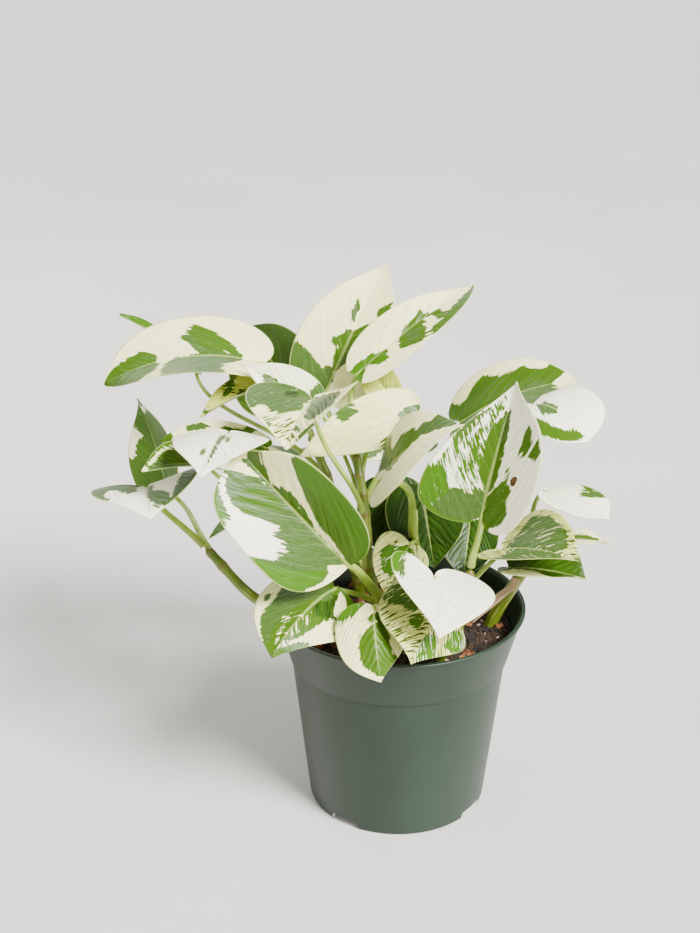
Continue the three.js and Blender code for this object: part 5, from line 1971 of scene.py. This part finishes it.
        patch(DARK, (-2, 30), (-2, 58), (-20, 64), (-45, 56), (-40, 40), (-30, 25)),
        patch(CREAM, (92, 90), (100, 90), (100, 46), (70, 49), (69, 62), (81, 73)),
        patch(GREEN, (78, 62), (85, 63), (87, 58), (80, 58)),
        patch(CREAM, (-45, 55), (-30, 50), (-25, 38), (-28, 20), (-60, 10), (-50, 40)),
        patch(GREY, (-10, 48), (8, 45), (20, 30), (15, 20), (0, 22), (-15, 35)),
    )),
    Leaf("front_centre", "front", 0.5, (-10, -46, 114.5), (-6.5, -68, 93), (-0.2, -0.75, 0.6), width=32,
         fold=(-45, 6), arch=30, curl=-3, wave=0.8, lobe=0.1, via=(-11, -36, 106), full=(0.2, 1.2),
         fleck=0.3, tint=0.4, markings=(
        patch(GREEN, (-100, 93), (-71, 94.5), (-10, 95.7), (38, 94), (53, 89), (62, 79), (48, 70), (38, 59),
            (19, 55), (-2, 49), (-17, 41), (-29, 50), (-43, 58), (-48, 67), (-67, 74), (-100, 80)),
        patch(GREEN, (-26, 36), (-14, 41), (12, 47), (10, 36), (-10, 29), (-29, 30)),
        patch(BRIGHT, (100, 49), (79, 43), (60, 36), (57, 29), (67, 17), (86, 11), (100, 10)),
    )),
    Leaf("front_speckled", "front_right", 0.95, (18, -30, 110), (5, -67, 101), (0.1, -0.65, 0.75), width=44,
         fold=(-40, 10), arch=24, curl=-3, lobe=0.2, radius=1.2, full=(0, 0.4), widest=(0.1, 0.45),
         fleck=0.9, tint=0.2, markings=(
        patch(BRIGHT, (-100, 95.5), (-48, 93), (-10, 90), (0, 81), (-19, 71), (-48, 72), (-67, 79),
            (-100, 81)),
        patch(GREEN, (19, 72), (36, 72), (43, 64), (33, 58), (19, 60)),
        patch(GREEN, (33, 58), (57, 53), (100, 48), (100, 36), (67, 40), (38, 49)),
        patch(BRIGHT, (-67, 70), (-55, 50), (-75, 40), (-100, 40), (-100, 60)),
    )),
    Leaf("white_heart", "right", 0.62, (14, -34, 122), (15.5, -68, 113), (0.25, -0.35, 0.9), width=50,
         fold=(0, 33), arch=24, curl=-3, wave=0.8, lobe=(0.42, 0.06), radius=1.2, full=0.2,
         widest=(0.12, 0.36), ground=WHITE, fleck=0.45, tint=0.85, markings=(
        patch(BRIGHT, (84, 55), (100, 58), (100, 22), (90, 30), (82, 42)),
        patch(GREY, (72, 40), (75, 55), (86, 58), (82, 45), (78, 38)),
    )),
    Leaf("inner_speckled", "inner", 0.85, (4, -10, 124), (-5, -11, 100), (-0.5, -0.75, 0.4), width=28,
         fold=8, arch=20, curl=0, wave=0.6, radius=1, full=0.4, fleck=0.75, tint=0.2, markings=(
        patch(BRIGHT, (-35, 30), (-10, 39), (5, 58), (10, 70), (19, 77), (57, 72), (73, 58), (62, 48),
            (38, 39), (19, 27), (0, 15), (-30, 25)),
        patch(GREY, (-40, 62), (-29, 70), (-5, 78), (5, 74), (2, 58), (-10, 43), (-19, 53)),
    )),
    # Painted shade: these inner leaves take the dark green because they lie in shade behind the front leaves
    Leaf("shade_centre", "inner", 0.9, (9, 12, 140), (15, 0, 108), (0, -0.9, 0.3), width=34, fold=8, arch=20,
         curl=0, wave=0.8, radius=1, full=0.4, ground=DARK, fleck=0, tint=0.1),
    Leaf("shade_left", "back", 0.34, (-4, 22, 138), (-4, 12, 104), (0.1, -0.9, 0.3), width=30, fold=8,
         arch=20, curl=0, wave=0.8, radius=1, full=0.4, ground=DARK, fleck=0, tint=0.1),
    Leaf("shade_right", "back_right", 0.3, (30, 14, 125), (27, -2, 104), (0, -0.8, 0.5), width=26, fold=8,
         arch=20, curl=0, wave=0.8, radius=1, full=0.4, ground=DARK, fleck=0, tint=0.1),
    Leaf("right_speckled", "right", 0.78, (43, -4, 120), (72, -28, 127), (0, -0.35, 0.93), width=40,
         fold=(12, 22), arch=30, wave=1.2, full=0.6, fleck=0.8, tint=0.15, markings=(
        patch(GREY, (-85, 45), (-80, 78), (-43, 85), (-10, 85), (0, 60), (-5, 20), (-24, 25), (-50, 40)),
        patch(GREY, (0, 88), (100, 90), (100, 60), (52, 50), (14, 40), (0, 40)),
        patch(GREEN, (-100, 97), (100, 97), (100, 100), (-100, 100)),
        patch(GREEN, (90, 50), (92, 85), (100, 85), (100, 50)),
    )),
    Leaf("right_lower", "right_edge", 0.92, (46, -3, 111), (77, -14, 112), (0, -0.4, 0.9), width=34,
         fold=(35, 40), arch=20, curl=0, lobe=0.1, full=1.2, ground=GREEN, fleck=0.1, tint=0.2, markings=(
        patch(WHITE, (0, 95), (100, 92), (100, 87), (50, 90)),
        patch(GREY, (5, 90), (100, 86), (100, 76), (50, 80), (5, 82)),
        patch(CREAM, (20, 50), (35, 60), (100, 72), (100, 30), (30, 35)),
    )),
    Leaf("far_right_white", "right_edge", 0.99, (61, 16, 138), (86.5, -3, 133.5), (0.1, -0.2, 0.97),
         width=22, fold=4, arch=40, curl=-4, wave=0.8, lobe=0.02, full=1.2, widest=0.42, ground=WHITE,
         fleck=0.2, tint=0.85, markings=(
        patch(GREY, (-100, 56), (-100, 63), (-76, 66), (-29, 62), (-57, 57)),
        patch(GREEN, (-100, 48), (-100, 56), (-60, 57), (-90, 49)),
    )),
    Leaf("right_sliver", "right_edge", 0.86, (71, 16, 116), (91, 15, 114), (0, 0.1, 1), width=16, fold=6,
         arch=20, curl=0, wave=0.8, lobe=0.1, radius=0.9, fleck=0.1, tint=0.6, markings=(
        patch(GREEN, (-30, 10), (-40, 80), (20, 80), (30, 10)),
    )),
    Leaf("back_low_left", "back", 0.5, (-38, 72, 130), (-60, 104, 114), (-0.2, 0.6, 0.8), width=40, fold=8,
         arch=40, curl=-2, radius=1.2, full=0.3, ground=GREEN, fleck=0.2, markings=(
        patch(CREAM, (-100, 50), (-60, 55), (-30, 75), (-60, 90), (-100, 90)),
        patch(CREAM, (30, 20), (50, 45), (100, 50), (100, 20)),
    )),
    Leaf("back_middle", "back", 0.42, (-6, 68, 130), (4, 106, 120), (0, 0.5, 0.9), width=42, fold=8, arch=40,
         curl=-2, radius=1.2, full=0.3, fleck=0.4, tint=0.6, markings=(
        patch(GREEN, (-100, 20), (-40, 30), (-10, 55), (-30, 80), (-100, 80)),
        patch(GREY, (10, 20), (30, 60), (100, 60), (100, 20)),
    )),
    Leaf("back_low_right", "back_right", 0.5, (34, 70, 124), (56, 98, 106), (0.3, 0.5, 0.8), width=36,
         fold=8, arch=40, curl=-2, full=0.3, ground=GREEN, fleck=0.2, markings=(
        patch(CREAM, (-100, 30), (-50, 35), (-20, 60), (-60, 75), (-100, 70)),
        patch(CREAM, (50, 60), (60, 80), (100, 85), (100, 60)),
    )),
]


@dataclass
class PottedPothos:
    """The whole plant in its pot."""

    vines: list[Vine]
    leaves: list[Leaf]
    pot: PotShape = field(default_factory=PotShape)

    def build(self) -> None:
        """Builds every sub-assembly and hands each over to its CAD node."""
        Pot(self.pot).build(MouldedPolypropylene().build())
        PottingMix(self.pot).build(
            Crumb("damp_peat", "#180f08", "#33200f", 1.2),
            Crumb("bark_chip", "#7a4328", "#a8693c", 2.0, 0.8),
            Crumb("pinkish_grit", "#b08f7c", "#d2b7a2", 0.8, 0.8),
        )
        sweep = sweep_tree()
        bark = StalkTissue("vine_skin").build()
        stalk = StalkTissue("petiole_skin", "#8fa83a", "#c9d389", "#6b8a26").build()
        blades = {
            Tissue.CREAM: LeafTissue("cream_leaf_blade").build(),
            Tissue.GREEN: LeafTissue("green_leaf_blade").build(),
        }
        vines = {vine.name: vine for vine in self.vines}
        for leaf in self.leaves:
            vines[leaf.vine].leaves_at.append(leaf.at)
        for vine in self.vines:
            vine.build(sweep, bark)
        DrySheath().build(DrySheathTissue().build())
        for leaf in self.leaves:
            leaf.build(vines[leaf.vine], sweep, blades, stalk)


def main() -> None:
    """Builds the plant and its studio."""
    logging.basicConfig(level=logging.INFO, format="%(message)s")
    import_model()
    PottedPothos(VINES, LEAVES).build()
    Studio().build()


if __name__ == "__main__":
    main()
